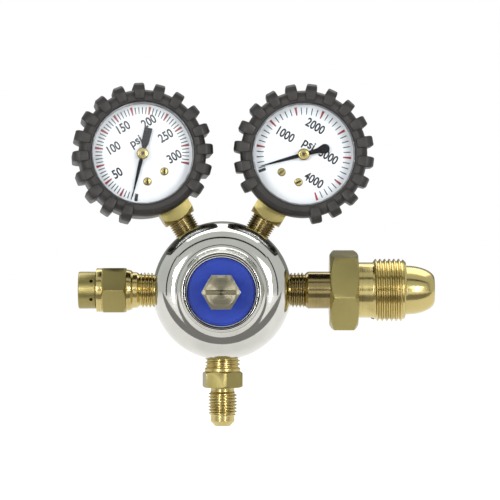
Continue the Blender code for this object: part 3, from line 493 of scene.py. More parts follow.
def polished_chrome(colours):
    # Bright chromium plate buffed on brass: near mirror, faint ring haze, a few dull touches.
    mat, tree, where = blank("chromium_plate", FRONT, Metallic=1.0)
    _, marks, haze, rough = tooled(tree, where, 0.5, 9.0, 5.0, (0.05, 0.10), (-0.015, 0.03))
    base = add(tree, "ValToRGB", {"Fac": haze}, [
        (0.3, colours.chrome, 0.9), (0.7, colours.chrome, 1)])
    return dress(mat, base, rough, marks, 0.0012)


def printed_disc(colours):
    # Anodised or printed aluminium label: even satin blue with a fine grain.
    mat, tree, where = blank("blue_printed_aluminium", FRONT, Metallic=0.0, Roughness=0.38,
                             Specular_IOR_Level=0.25, Coat_Weight=0.12, Coat_Roughness=0.25)
    grain, drift = (add(tree, "TexNoise", {
        "Vector": where, "Scale": 1 / (size * MM), "Detail": detail})
        for size, detail in ((0.25, 2.0), (7.0, 3.0)))
    mix = add(tree, "Math", {0: grain, 1: drift}, operation="MULTIPLY")
    base = add(tree, "ValToRGB", {"Fac": mix}, [
        (0.15, colours.label, 0.8), (0.4, colours.label, 1.15)])
    return dress(mat, base, None, grain, 0.006)


def boot_rubber(colours, side):
    # Moulded nitrile rubber: dark warm grey, dull, with a light bloom and a fine skin.
    dark = colours.rubber
    return patchy(blank("moulded_rubber_" + side, DIAL[side], Metallic=0.0), 5.0, 5.0,
                  [(0.3, dark, 0.75), (0.52, dark, 1), (0.8, dark, 1.9)], (0.36, 0.58), 0.35,
                  depth=0.03, strength=0.7)


def crystal():
    # Clear acrylic crystal: shadows pass through it, so the dial below keeps its light.
    mat = patchy(blank("clear_acrylic", Roughness=0.02, IOR=1.49, Transmission_Weight=1.0,
                       Specular_IOR_Level=0.2),
                 12.0, 3.0, [(0.3, "#FBFCFC", 1), (0.7, "#FFFFFF", 1)])
    tree = mat.node_tree
    return shown(mat, add(tree, "MixShader", {
        0: add(tree, "LightPath").outputs["Is Shadow Ray"],
        1: tree.nodes["Principled BSDF"], 2: add(tree, "BsdfTransparent")}))


def coated(name, code, roughness, grain=0.3, depth=0.004, shift=0.12, **sockets):
    """Paint, ink or plastic: even colour with a slight grain and drift."""
    return patchy(blank(name, Metallic=0.0, **sockets), 4.0, 3.0,
                  [(0.3, code, 1 - shift), (0.7, code, 1)],
                  (roughness * 0.85, roughness * 1.15), grain, 2.0, depth=depth)


def sheet_metal(name, light, dark, roughness, stretch=(1, 1, 12)):
    """Stamped or drawn metal: a grain that runs one way and a soft tarnish."""
    mat, tree, where = blank(name, Metallic=1.0)
    pulled = add(tree, "Mapping", {"Vector": where, "Scale": stretch})
    grain, tarnish = (add(tree, "TexNoise", {
        "Vector": vector, "Scale": 1 / (size * MM), "Detail": detail})
        for vector, size, detail in ((pulled, 0.8, 3.0), (where, 5.0, 4.0)))
    base = add(tree, "ValToRGB", {"Fac": tarnish}, [(0.3, dark, 1), (0.65, light, 1)])
    rough = add(tree, "MapRange", {
        "Value": grain, "From Min": 0.25, "From Max": 0.75, "To Min": roughness * 0.75,
        "To Max": roughness * 1.3})
    return dress(mat, base, rough, grain, 0.004)


# sizes and colours that a user may change

class RegulatorSizes(bpy.types.PropertyGroup):
    nut_pitch: length("Nut pitch", "Thread pitch of the inlet nut", 1.814)
    flare_pitch: length("Flare pitch", "Thread pitch of the flare outlet", 1.27)
    pipe_pitch: length("Pipe pitch", "Thread pitch of the quarter-inch pipe threads", 1.411)
    gauge_pitch: length("Gauge pitch", "Thread pitch of the gauges' pipe threads", 0.941)
    screw_pitch: length("Screw pitch", "Thread pitch of the adjusting screw", 1.25)
    tick: length("Tick width", "Width of a fine line on the dials", 0.32)
    numeral: length("Numeral height", "Height of the numbers on the dials", 3.4)
    crown: length("Crystal crown", "How far the crystal bulges", 0.35)
    lugs: IntProperty(name="Boot lugs", description="Ribs on each rubber boot", default=17, min=3)


class RegulatorColours(bpy.types.PropertyGroup):
    brass: colour("Brass", "Bare turned brass", "#CDBC80")
    brass_shade: colour("Brass shade", "Tarnish in the brass's tool marks", "#A39258")
    stem: colour("Stem brass", "Browner brass of the inlet nipple and gauge stems", "#A19163")
    stem_shade: colour("Stem shade", "Tarnish in the stems' tool marks", "#7A6943")
    chrome: colour("Chrome", "Chromium plate on the bonnet", "#D6D5CF")
    label: colour("Label", "Blue of the bonnet's disc", "#2741A8")
    rubber: colour("Rubber", "Gauge boots", "#262321")
    dial: colour("Dial", "White of the dials", "#E6EAEE")
    ink: colour("Ink", "Black print and pointers", "#15161A")
    red: colour("Red ink", "Red lines of the dials", "#96302F")


class Make:
    """What the operators share."""
    bl_options = {"REGISTER", "UNDO"}

    def execute(self, context):
        self.sizes = context.scene.regulator_sizes
        self.colours = context.scene.regulator_colours
        self.make()
        let_go()
        return {"FINISHED"}

    def brass(self, name, place, roughness=0.24, pitch=0.35, kind="brass", zones=()):
        # Free-cutting brass turned bright and left bare: warm, a little dulled between the rings.
        # The stems are the same metal after years in the air, browner and darker.
        return turned_metal(name, getattr(self.colours, kind),
                            getattr(self.colours, kind + "_shade"), roughness, place, pitch,
                            0.001, 9.0, zones=zones)

    def pipe_thread(self, name, high=32.3):
        return thread(name, 5.7, 6.4, self.sizes.pipe_pitch / MM, 16.2, high, taper=-0.03)


# the body and the bonnet

class REGULATOR_OT_body(Make, bpy.types.Operator):
    """Turned brass body with its five tapped ports."""
    bl_idname = "regulator.make_body"
    bl_label = "Body"

    def make(self):
        body = turned("regulator_body", eased([
            (0.01, -8), (6.2, -8), (6.2, 12.5), (19, 12.5), (19, 17, 0.4), (23.5, 17, 0.5),
            (23.5, 11), (26.7, 11, 0.4), (26.7, -13, 1.6), (22.2, -13, 0.2), (21.8, -12.7, 0.2),
            (21.4, -13, 0.2), (0.01, -13)]), 128)
        for angle, radius in ((0, 6.7), (60, 5.2), (120, 5.2), (180, 6.7), (270, 6.7)):
            tool = turned("port_tool", [(0.5, 15.2), (radius, 15.2), (radius, 26.1),
                                        (radius + 0.9, 27.4), (radius + 0.9, 31), (0.5, 31)], 48)
            tool.matrix_world = turn(angle - 90, "Z") @ turn(-90, "X")
            carve(body, tool)
        set_in(body, FRONT, "brass_body",
               self.brass("turned_brass_body", FRONT, 0.26), "body")


class REGULATOR_OT_bonnet(Make, bpy.types.Operator):
    """Bell-shaped bonnet, plated and buffed, with the recess for the label disc."""
    bl_idname = "regulator.make_bonnet"
    bl_label = "Bonnet"

    def make(self):
        outside = [(26.7, 11.3, 0.2)]
        end = radians(80)
        for k in range(19):
            angle = end * k / 18
            outside.append((26.7 - 7.9 * (1 - cos(angle)) / (1 - cos(end)),
                            15.6 + 12.5 * sin(angle), 0))
        r0, z0 = outside[-1][:2]
        for k in range(1, 15):
            t = k / 14
            outside.append((r0 - (r0 - 15) * (1 - (1 - t) ** 2.2), z0 + 6.4 * t ** 1.6, 0))
        neck = [(15, 51.6, 0.4), (14.6, 52, 0.3), (13.7, 52, 0.3), (13.3, 51.5, 0.2), (13.3, 48),
                (4.3, 48, 0.3), (4.3, 43), (12, 43), (12, 27.2), (17.6, 21.2), (18.4, 20.2),
                (23.8, 20.2), (23.8, 11.3)]
        bonnet = turned("bonnet_bell", eased(outside + neck), 160, ring=True)
        set_in(bonnet, FRONT, "chrome_bonnet", polished_chrome(self.colours), "bonnet",
               smooth=28)


class REGULATOR_OT_label_disc(Make, bpy.types.Operator):
    """Blue disc in the bonnet's recess, with its rolled edge and the hole for the screw."""
    bl_idname = "regulator.make_label_disc"
    bl_label = "Label disc"

    def make(self):
        disc = turned("blue_disc", eased([
            (5.6, 48.3), (5.6, 49.5, 0.25), (11.9, 49.5, 0.2), (12.1, 49.35, 0.1),
            (12.5, 49.35, 0.1), (12.8, 49.1, 0.3), (12.8, 48.3)]), 128, ring=True)
        set_in(disc, FRONT, "blue_label", printed_disc(self.colours), "label_disc")


class REGULATOR_OT_adjusting_screw(Make, bpy.types.Operator):
    """Slotted hexagon screw that sets the outlet pressure."""
    bl_idname = "regulator.make_adjusting_screw"
    bl_label = "Adjusting screw"

    def make(self):
        corner = 12.7 / sqrt(3)
        head = bar("screw_head", corner, 57.9, 64.3, 6)
        cone = turned("head_cone", [(0.5, 57), (6.2, 57), (6.2, 57.9), (corner + 0.2, 58.5),
                                    (corner + 0.2, 62.75), (5.5, 64.3), (5.5, 65), (0.5, 65)], 128)
        carve(head, cone, "INTERSECT")
        edge_round(head, 0.12, 2, 20)
        carve(head, box("slot_tool", (-9, -0.92, 62.6), (9, 0.92, 66)))
        shank = turned("screw_shank", eased([
            (0.01, 58.3), (3.95, 58.3), (3.95, 57.2), (3.45, 56.6), (3.45, 41), (2.4, 38.9),
            (1.3, 38.5, 0.5), (0.01, 38.5)]), 48)
        helix = thread("screw_thread", 3.45, 4.0, self.sizes.screw_pitch / MM, 40.4, 56.6)
        screw = weld("adjusting_screw_piece", head, shank, helix)
        # Bright steel, faced on a lathe: rings on the face gather the light into a bow tie.
        # The bottom of the slot is painted darker, as painted shade in the slot.
        steel = turned_metal("faced_steel", "#9A947F", "#716C5B", 0.33, FRONT, 0.3, stretch=0.92,
                             zones=[(PAINTED_RECESS_SHADE, {"X": (-5.7, 5.7), "Y": (-0.95, 0.95),
                                            "Z": (62.4, 62.75)})])
        set_in(screw, FRONT, "screw_steel", steel, "adjusting_screw", body="adjusting_screw",
               smooth=28)


# the three connections

class REGULATOR_OT_inlet(Make, bpy.types.Operator):
    """Inlet nipple with its rounded nose, and the hexagon nut that turns on it."""
    bl_idname = "regulator.make_inlet"
    bl_label = "Inlet nipple and nut"

    def make(self):
        nose = []
        for k in range(25):
            t = k / 24
            nose.append((4.5 + 5.0 * sin(t * pi / 2) ** 0.9,
                         82.6 - 11.0 * (1 - cos(t * pi / 2)) ** 0.9, 0))
        outside = [(4.0, 15.5), (5.7, 15.5, 0.3), (6.0, 32.0), (6.6, 32.4), (7.2, 33.3, 0.4),
                   (7.2, 66.0), (9.5, 66.0, 0.3)]
        inside = [(2.6, 82.6, 0.4), (2.6, 25.1), (4.0, 24.1), (4.0, 15.5)]
        nipple = turned("nipple_turning", eased(outside + nose[::-1] + inside[:-1]), 112,
                        ring=True)
        nipple = weld("inlet_nipple_piece", nipple, self.pipe_thread("nipple_thread"))
        set_in(nipple, INLET, "inlet_brass",
               self.brass("turned_brass_nipple", INLET, 0.2, 0.3, "stem",
                          [(CLEAN, {"Z": (60, 90)})]), "inlet_nipple")

        hex_part = hexagon("nut_hexagon", 28.6, 41.7, 52.8, 40.3, 1.9, 7.5, 0.18)
        sleeve = turned("nut_sleeve", eased([
            (7.5, 45), (7.5, 65.7), (9.8, 65.7), (9.8, 71.1, 0.3), (10.9, 71.1, 0.2),
            (11.3, 70.6), (11.3, 59.4), (10.8, 58.4, 0.5), (10.8, 45)]), 112, ring=True)
        helix = thread("nut_thread", 11.35, 12.2, self.sizes.nut_pitch / MM, 58.6, 70.9,
                       around=72)
        nut = weld("inlet_nut_piece", hex_part, sleeve, helix)
        set_in(nut, INLET, "inlet_brass",
               self.brass("turned_brass_nut", INLET, 0.22, 0.45,
                          zones=[(SKIN, {"R": (12.6, 18), "Z": (41, 53.5)})]), "inlet_nut",
               body="inlet_nut")


class REGULATOR_OT_relief(Make, bpy.types.Operator):
    """Relief valve: threaded hexagon body and the drilled cap that holds its spring."""
    bl_idname = "regulator.make_relief"
    bl_label = "Relief valve"

    def make(self):
        core = turned("relief_core", eased([
            (1.8, 15.5), (5.7, 15.5, 0.3), (6.0, 32.1), (6.9, 33.2, 0.4), (7.0, 34.9, 0.4),
            (7.7, 35.6, 0.25), (8.0, 36.8, 0.2), (8.0, 37.6), (7.4, 38.0), (7.4, 46.6),
            (8.5, 46.9, 0.2), (8.5, 49.1, 0.3), (6.0, 49.1), (6.0, 44.5), (5.0, 44.5), (5.0, 40),
            (1.8, 40)]), 80, ring=True)
        body_hex = hexagon("relief_hexagon", 17.2, 37.4, 47.0, 30, 1.3, 6.9)
        body = weld("relief_body_piece", core, body_hex, self.pipe_thread("relief_thread"))
        set_in(body, RELIEF, "relief_brass",
               self.brass("turned_brass_relief", RELIEF, 0.22, 0.35,
                          zones=[(SKIN, {"R": (8.3, 12), "Z": (37.3, 46.6)})]), "relief_body")
        cap = turned("relief_cap_piece", eased([
            (4.4, 44.6), (5.7, 44.6, 0.2), (5.7, 49.4), (7.2, 49.4, 0.25), (7.2, 56.1, 0.6),
            (2.6, 56.1, 0.2), (2.2, 55.7, 0.2), (0.01, 55.7)]) + [(0.01, 54.3), (4.4, 54.3),
                                                                  (4.4, 44.6)], 80)
        for k in range(6):
            tool = bar("vent_tool", 0.7, 3.4, 9)
            tool.matrix_world = turn(60 * k, "Z") @ Matrix.Translation(
                (0, 0, 51.0 * MM)) @ turn(90, "Y")
            carve(cap, tool)
        set_in(cap, RELIEF, "relief_brass",
               self.brass("turned_brass_cap", RELIEF, 0.26, 0.25,
                          zones=[(SKIN, {"R": (3, 12), "Z": (49.3, 56.3)})]), "relief_cap")


class REGULATOR_OT_outlet(Make, bpy.types.Operator):
    """Flare outlet with its hexagon, flare thread and 45 degree cone."""
    bl_idname = "regulator.make_outlet"
    bl_label = "Flare outlet"

    def make(self):
        core = turned("outlet_core", eased([
            (2.4, 15.5), (5.7, 15.5, 0.3), (6.1, 30.0), (6.9, 30.4, 0.3), (6.9, 31.6, 0.2),
            (5.8, 32.6), (5.8, 37.4), (4.6, 38.2, 0.3), (4.6, 39.4), (4.75, 39.8), (4.75, 48.6),
            (4.65, 48.9), (4.65, 51.1, 0.2), (3.0, 52.9, 0.15), (2.4, 52.9)]), 72, ring=True)
        body_hex = hexagon("flare_hexagon", 14.3, 31.7, 38.0, 18.5, 0.8, 5.4)
        pipe = self.pipe_thread("outlet_pipe_thread", 30.2)
        flare = thread("flare_thread", 4.8, 5.55, self.sizes.flare_pitch / MM, 39.7, 48.9)
        fitting = weld("outlet_fitting_piece", core, body_hex, pipe, flare)
        set_in(fitting, OUTLET, "outlet_brass",
               self.brass("turned_brass_outlet", OUTLET, 0.24, 0.35,
                          zones=[(SKIN, {"R": (6.95, 9), "Z": (31.8, 38.2)})]), "outlet_fitting")


# the gauges

class REGULATOR_OT_boots(Make, bpy.types.Operator):
    """Ribbed rubber boots round the two gauges."""
    bl_idname = "regulator.make_boots"
    bl_label = "Gauge boots"

    def make(self):
        for side in LEAN:
            shell = turned("boot_shell", eased([
                (21.0, 11.4, 0.1), (19.7, 11.7, 0.2), (19.7, 12.2, 0.3), (20.3, 12.9, 0.5),
                (22.2, 12.8, 1.0), (23.9, 11.9, 1.4), (24.6, 10.0, 1.6), (24.6, -9.6, 1.8),
                (23.6, -11.9, 1.4), (22.0, -13.0, 1.0), (13.0, -13.0, 0.5), (13.0, -11.3, 0.2),
                (21.0, -11.3)], 0.3, 4), 144, ring=True)
            carve(shell, box("stem_tool", (-6.6, -30, -6.6), (6.6, -15, 6.6)))
            # side view of a rib: radius, front distance, half width
            section = ((20.4, 12.6, 1.7), (20.9, 13.4, 1.9), (24.4, 13.8, 2.3), (26.4, 13.0, 2.1),
                       (27.2, 11.2, 1.8), (27.2, -9.8, 1.8), (26.0, -11.4, 2.2),
                       (22.6, -12.6, 2.6))
            rib = slab("rib", [(r, z) for r, z, w in section], -1, 1)
            for v in rib.data.vertices:
                spot = min(section, key=lambda q: hypot(q[0] * MM - v.co.x, q[1] * MM - v.co.y))
                v.co.z *= spot[2]
            rib.matrix_world = turn(90, "X")
            take(rib)
            bpy.ops.object.transform_apply()
            edge_round(rib, 0.6, 4, 25)
            first = {"left": -63.5, "right": -60.0}[side]
            angles = [first + 18 * k for k in range(self.sizes.lugs)]
            if side == "right":
                angles = [180 - a for a in angles]
            ribs = copies(rib, [turn(a, "Z") for a in angles])
            boot = weld(side + "_boot_piece", shell, *ribs)
            set_in(boot, DIAL[side], "boot_rubber",
                   boot_rubber(self.colours, side), side + "_boot", smooth=40)


class REGULATOR_OT_crystals(Make, bpy.types.Operator):
    """Slightly crowned clear crystals."""
    bl_idname = "regulator.make_crystals"
    bl_label = "Crystals"

    def make(self):
        crown = self.sizes.crown / MM
        clear = crystal()
        for side in LEAN:
            swell = [(19.7 * sin(pi / 20 * k), crown * cos(pi / 20 * k) ** 2 - crown)
                     for k in range(11)]
            lens = turned(side + "_crystal", eased(
                [(r, 9.4 + z) for r, z in swell] + [(r, 10.9 + z) for r, z in swell[::-1]]))
            set_in(lens, DIAL[side], "lens_clear", clear, side + "_lens", smooth=40)


def printed(text, height, at, narrow=0.8, bold=0.13):
    """Number or word as a thin printed shape on the dial, centred on a point. mm."""
    let_go()
    bpy.ops.object.text_add(location=(0, 0, 0))
    data = bpy.context.object.data
    data.body, data.size = text, height / 0.70 * MM
    data.align_x, data.align_y = "CENTER", "CENTER"
    data.offset = bold * MM
    data.extrude = 0.012 * MM
    data.resolution_u = 4
    bpy.ops.object.convert(target="MESH")
    obj = bpy.context.object
    obj.matrix_world = Matrix.Translation((at[0] * MM, at[1] * MM, 5.13 * MM)) \
        @ Matrix.Diagonal((narrow, 1, 1, 1))
    bpy.ops.object.transform_apply()
    return obj


def lines(name, spec):
    """Radial lines on a dial: (bearing, inner radius, outer radius, inner width, outer width)."""
    made = []
    for bearing, inner, outer, w0, w1 in spec:
        tick = box("tick", (inner, -w1 / 2, 5.115), (outer, w1 / 2, 5.14))
        for v in tick.data.vertices:
            if v.co.x < (inner + outer) / 2 * MM:
                v.co.y *= w0 / w1
        tick.matrix_world = turn(bearing, "Z")
        made.append(tick)
    take(*made)
    bpy.ops.object.transform_apply()
    return weld(name, *made)


class REGULATOR_OT_dials(Make, bpy.types.Operator):
    """White dials with their printed scales."""
    bl_idname = "regulator.make_dials"
    bl_label = "Dials"

    def make(self):
        ink = coated("black_dial_ink", self.colours.ink, 0.5)
        red = coated("red_dial_ink", self.colours.red, 0.5)
        # White enamel on an aluminium dial: clean, satin, a breath of warmth.
        white = coated("white_dial_enamel", self.colours.dial, 0.42, 0.5, 0.002, 0.03)
        fine = self.sizes.tick / MM
        tall = self.sizes.numeral / MM
        scales = {
            "left": (60, [("50", -12.2, -1.6), ("100", -8.65, 7.54), ("150", -1.35, 12.48),
                          ("200", 8.6, 9.39), ("250", 11.4, 1.29), ("300", 10.1, -7.33)],
                     (0.3, 5.5)),
            "right": (40, [("1000", -10.24, 2.94), ("2000", -1.76, 11.64), ("3000", 8.67, 4.2),
                           ("4000", 8.52, -6.65)], (-0.2, 4.5))}
        for side, (count, numbers, unit) in scales.items():
            plate = turned(side + "_dial_plate", eased([
                (1.4, 4.6), (19.4, 4.6), (19.4, 5.1, 0.1), (1.4, 5.1, 0.05)]), 120, ring=True)
            for spot in SCREWS.values():
                carve(plate, bar("screw_hole", 1.0, 4, 6, 24, spot))
            set_in(plate, DIAL[side], "dial_white", white, side + "_dial")
            thin, thick = [], []
            for k in range(count + 1):
                bearing = ZERO - SWEEP * k / count
                if k % 5:
                    thin.append((bearing, 15.5, 18.2, fine, fine * 1.3))
                elif k:
                    thick.append((bearing, 15.3, 18.5, fine * 1.5, fine * 3.2))
            thin.append((231.4, 15.7, 18.6, 1.15, 1.15))
            marks = [lines("fine_lines", thin)]
            marks += [printed(t, tall, (x, y)) for t, x, y in numbers]
            marks.append(printed("psi", tall * 0.98, unit, 0.95, 0.12))
            scale = weld(side + "_scale_print", *marks)
            set_in(scale, DIAL[side], "pointer_black", ink)
            majors = lines(side + "_major_print", thick)
            set_in(majors, DIAL[side], "dial_white", red)


class REGULATOR_OT_pointers(Make, bpy.types.Operator):
    """Pointers at zero, their hub caps, and the slotted dial screws."""
    bl_idname = "regulator.make_pointers"
    bl_label = "Pointers and dial screws"

    def make(self):
        black = coated("black_pointer_paint", self.colours.ink, 0.6, depth=0.001,
                       Specular_IOR_Level=0.2)
        for side in LEAN:
            half = [(17.3, 0.12), (9.0, 0.55), (2.3, 0.8)]
            half += [(2 * cos(radians(a)), 2 * sin(radians(a))) for a in range(30, 151, 20)]
            if side == "left":
                half += [(-2.4, 0.8), (-4.0, 1.45), (-10.3, 1.55)]
            else:
                half += [(-2.4, 0.8), (-5.5, 1.0)]
                half += [(1.9 * cos(radians(a)) - 8.5, 1.9 * sin(radians(a)))
                         for a in range(60, 181, 20)]
            pointer = slab(side + "_pointer_piece",
                           half + [(x, -y) for x, y in half[::-1] if y], 6.45, 6.75)
            carve(pointer, bar("eye_hole", 0.9, 6, 7, 32))
            edge_round(pointer, 0.05, 2, 40)
            set_in(pointer, DIAL[side] @ turn(REST, "Z"), "pointer_black", black,
                   side + "_pointer", body=side + "_pointer")
            hub = turned(side + "_hub_cap", eased([
                (0.9, 8.0), (0.9, 7.1), (2.3, 7.1, 0.1), (2.3, 7.95, 0.25), (1.9, 8.4, 0.3),
                (0.95, 8.5, 0.2), (0.55, 8.2, 0.2), (0.01, 8.15)]) + [(0.01, 8.0), (0.9, 8.0)], 64)
            # The dimple in the hub cap is painted darker, as painted shade in the recess.
            set_in(hub, DIAL[side], "dial_brass",
                   self.brass("turned_brass_hub_" + side, DIAL[side], 0.18, 0.2, zones=[
                       (PAINTED_RECESS_SHADE, {"X": (-0.6, 0.6), "Y": (-0.6, 0.6), "Z": (7.9, 8.35)})]),
                   side + "_pointer_hub", body=side + "_pointer")
            for tag, (x, y) in SCREWS.items():
                name = "%s_dial_screw_%s" % (side, tag)
                screw = turned(name + "_piece", eased([
                    (0.01, 1.2), (0.7, 1.2), (0.7, 5.4), (1.6, 5.4, 0.1), (1.6, 5.6, 0.15),
                    (1.2, 5.9, 0.2), (0.01, 5.97)]), 40)
                slot = box("slot_tool", (-1.1, -0.3, 5.55), (1.1, 0.3, 6.5))
                slit = turn(62 if tag == "a" else 54, "Z")
                slot.matrix_world = slit
                carve(screw, slot)
                at = DIAL[side] @ Matrix.Translation((x * MM, y * MM, 0))
                # The bottom of each screw's slot is painted darker, as painted shade in the slot.
                set_in(screw, at, "dial_brass",
                       self.brass("turned_brass_screw_%s_%s" % (side, tag), at @ slit, 0.2, 0.2,
                                  zones=[(PAINTED_RECESS_SHADE, {"X": (-1.6, 1.6), "Y": (-0.32, 0.32),
                                                 "Z": (5.4, 5.7)})]),
                       name)


class REGULATOR_OT_sockets(Make, bpy.types.Operator):
    """Square wrench blocks of the gauges with their pipe threads."""
    bl_idname = "regulator.make_sockets"
    bl_label = "Gauge sockets"

    def make(self):
        for side in LEAN:
            block = box("wrench_block", (-6.3, -6.3, 32.2), (6.3, 6.3, 47.8))
            carve(block, box("dial_clearance", (-8, -9, 41.1), (8, -2.2, 50)))
            cone = turned("block_cone", [(0.5, 31), (6.2, 31), (6.2, 32.2), (9.4, 34.8),
                                         (9.4, 49), (0.5, 49)], 96)
            carve(block, cone, "INTERSECT")
            edge_round(block, 0.2, 2, 30)
            stem = turned("stem_core", eased([
                (1.4, 15.5), (4.2, 15.5, 0.3), (4.55, 31.6), (4.9, 32.4), (4.9, 34),
                (1.4, 34)]), 56, ring=True)
            helix = thread("stem_thread", 4.25, 4.75, self.sizes.gauge_pitch / MM, 16.2, 32.1,
                           taper=-0.03)
            pad = box("movement_pad", (-6.3, 2.5, 46.2), (6.3, 6.3, 55.2))
            edge_round(pad, 0.15, 2, 30)
            posts = []
            for spot in SCREWS.values():
                post = bar("dial_post", 1.5, -3.0, 4.3, 32, spot)
                carve(post, bar("post_hole", 1.0, 0.6, 6, 24, spot))
                post.matrix_world = Matrix.Translation((0, 0, REACH * MM)) @ turn(90, "X")
                posts.append(post)
            take(*posts)
            bpy.ops.object.transform_apply()
            piece = weld(side + "_socket_piece", block, stem, helix, pad, *posts)
            set_in(piece, STEM[side], "gauge_brass",
                   self.brass("milled_brass_socket_" + side, STEM[side], 0.28, 0.6, "stem",
                              [(SKIN, {"R": (5.8, 12), "Z": (32, 56)})]), side + "_socket")


class REGULATOR_OT_inside(Make, bpy.types.Operator):
    """Springs wound between the ends of their parts, and finishes of the inner pieces that keep
    their frame shapes.
    """
    bl_idname = "regulator.finish_inside"
    bl_label = "Inner pieces"

    def make(self):
        brass, shade = self.colours.brass, self.colours.brass_shade
        # Hardened and tempered wire: dark, a little blue, drawn bright. The turned and stamped
        # steels are a paler satin grey, the filter sintered in dull brown grains.
        wire = sheet_metal("tempered_spring_wire", "#8B9096", "#5C6066", 0.3)
        # Moulded synthetic rubber with a cloth-like skin.
        rubber = coated("diaphragm_rubber", "#232323", 0.62, 0.2, 0.02)
        steel = sheet_metal("turned_inner_steel", "#B9BBBC", "#828486", 0.28)
        seat = coated("white_seat_plastic", "#DEDCD2", 0.5)
        filter_metal = coated("sintered_bronze", "#8A5F34", 0.7, 0.12, 0.08, 0.35)
        case = sheet_metal("pressed_case_steel", "#8C8F92", "#6A6D70", 0.34, (1, 9, 1))
        stamped = sheet_metal("stamped_brass", brass, shade, 0.24, (1, 1, 9))
        drawn = sheet_metal("drawn_phosphor_bronze", "#C8905A", "#8F6238", 0.26)
        link = sheet_metal("stamped_link_steel", "#B4B6B8", "#808284", 0.3)
        inner_brass = sheet_metal("inner_turned_brass", brass, shade, 0.28)
        finishes = {
            "spring_button": steel, "valve_poppet": steel, "slip_washer": steel,
            "diaphragm": rubber, "relief_seal": rubber, "diaphragm_plate": inner_brass,
            "seat_nozzle": inner_brass, "relief_poppet": inner_brass, "seat_disc": seat,
            "inlet_filter": filter_metal}
        for side in LEAN:
            finishes.update({side + "_" + n: m for n, m in {
                "hairspring": wire, "case": case, "arbor": stamped, "sector": stamped,
                "movement_frame": stamped, "bourdon_tube": drawn, "link": link}.items()})
        # Each spring is wound between the two ends of its part in the frame, along its axis.
        for name, joint, travel, place, radius, thick, turns, still in (
                ("adjusting_spring", "spring_button_slide", 4.98, FRONT, 8.5, 0.9, 4.5, 0),
                ("valve_spring", "diaphragm_plate_slide", 0.6, FRONT, 3.0, 0.4, 5, 0),
                ("relief_spring", "relief_poppet_slide", 1.2, RELIEF, 3.2, 0.4, 5, 1)):
            ends = sorted((place.inverted() @ Vector(c)).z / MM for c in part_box(name))
            piece = spring(name + "_piece", radius, thick, *ends, turns)
            set_in(piece, place, "spring_wire", wire, name)
            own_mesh(piece)
        for name, finish in finishes.items():
            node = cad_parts[name]
            node.data.materials.clear()
            node.data.materials.append(finish)


# the studio

# The camera stands straight in front. The photograph's frame is 195 mm wide at the gauges.
VIEW_X, VIEW_Z, DISTANCE, FRAME_WIDTH, SENSOR = -0.0719, 0.01565, 1.2, 0.195, 36


def facing(at, aim, axis):
    """Rotation that points an axis from one place to another."""
    return (Vector(aim) - Vector(at)).to_track_quat(axis, "Y").to_euler()


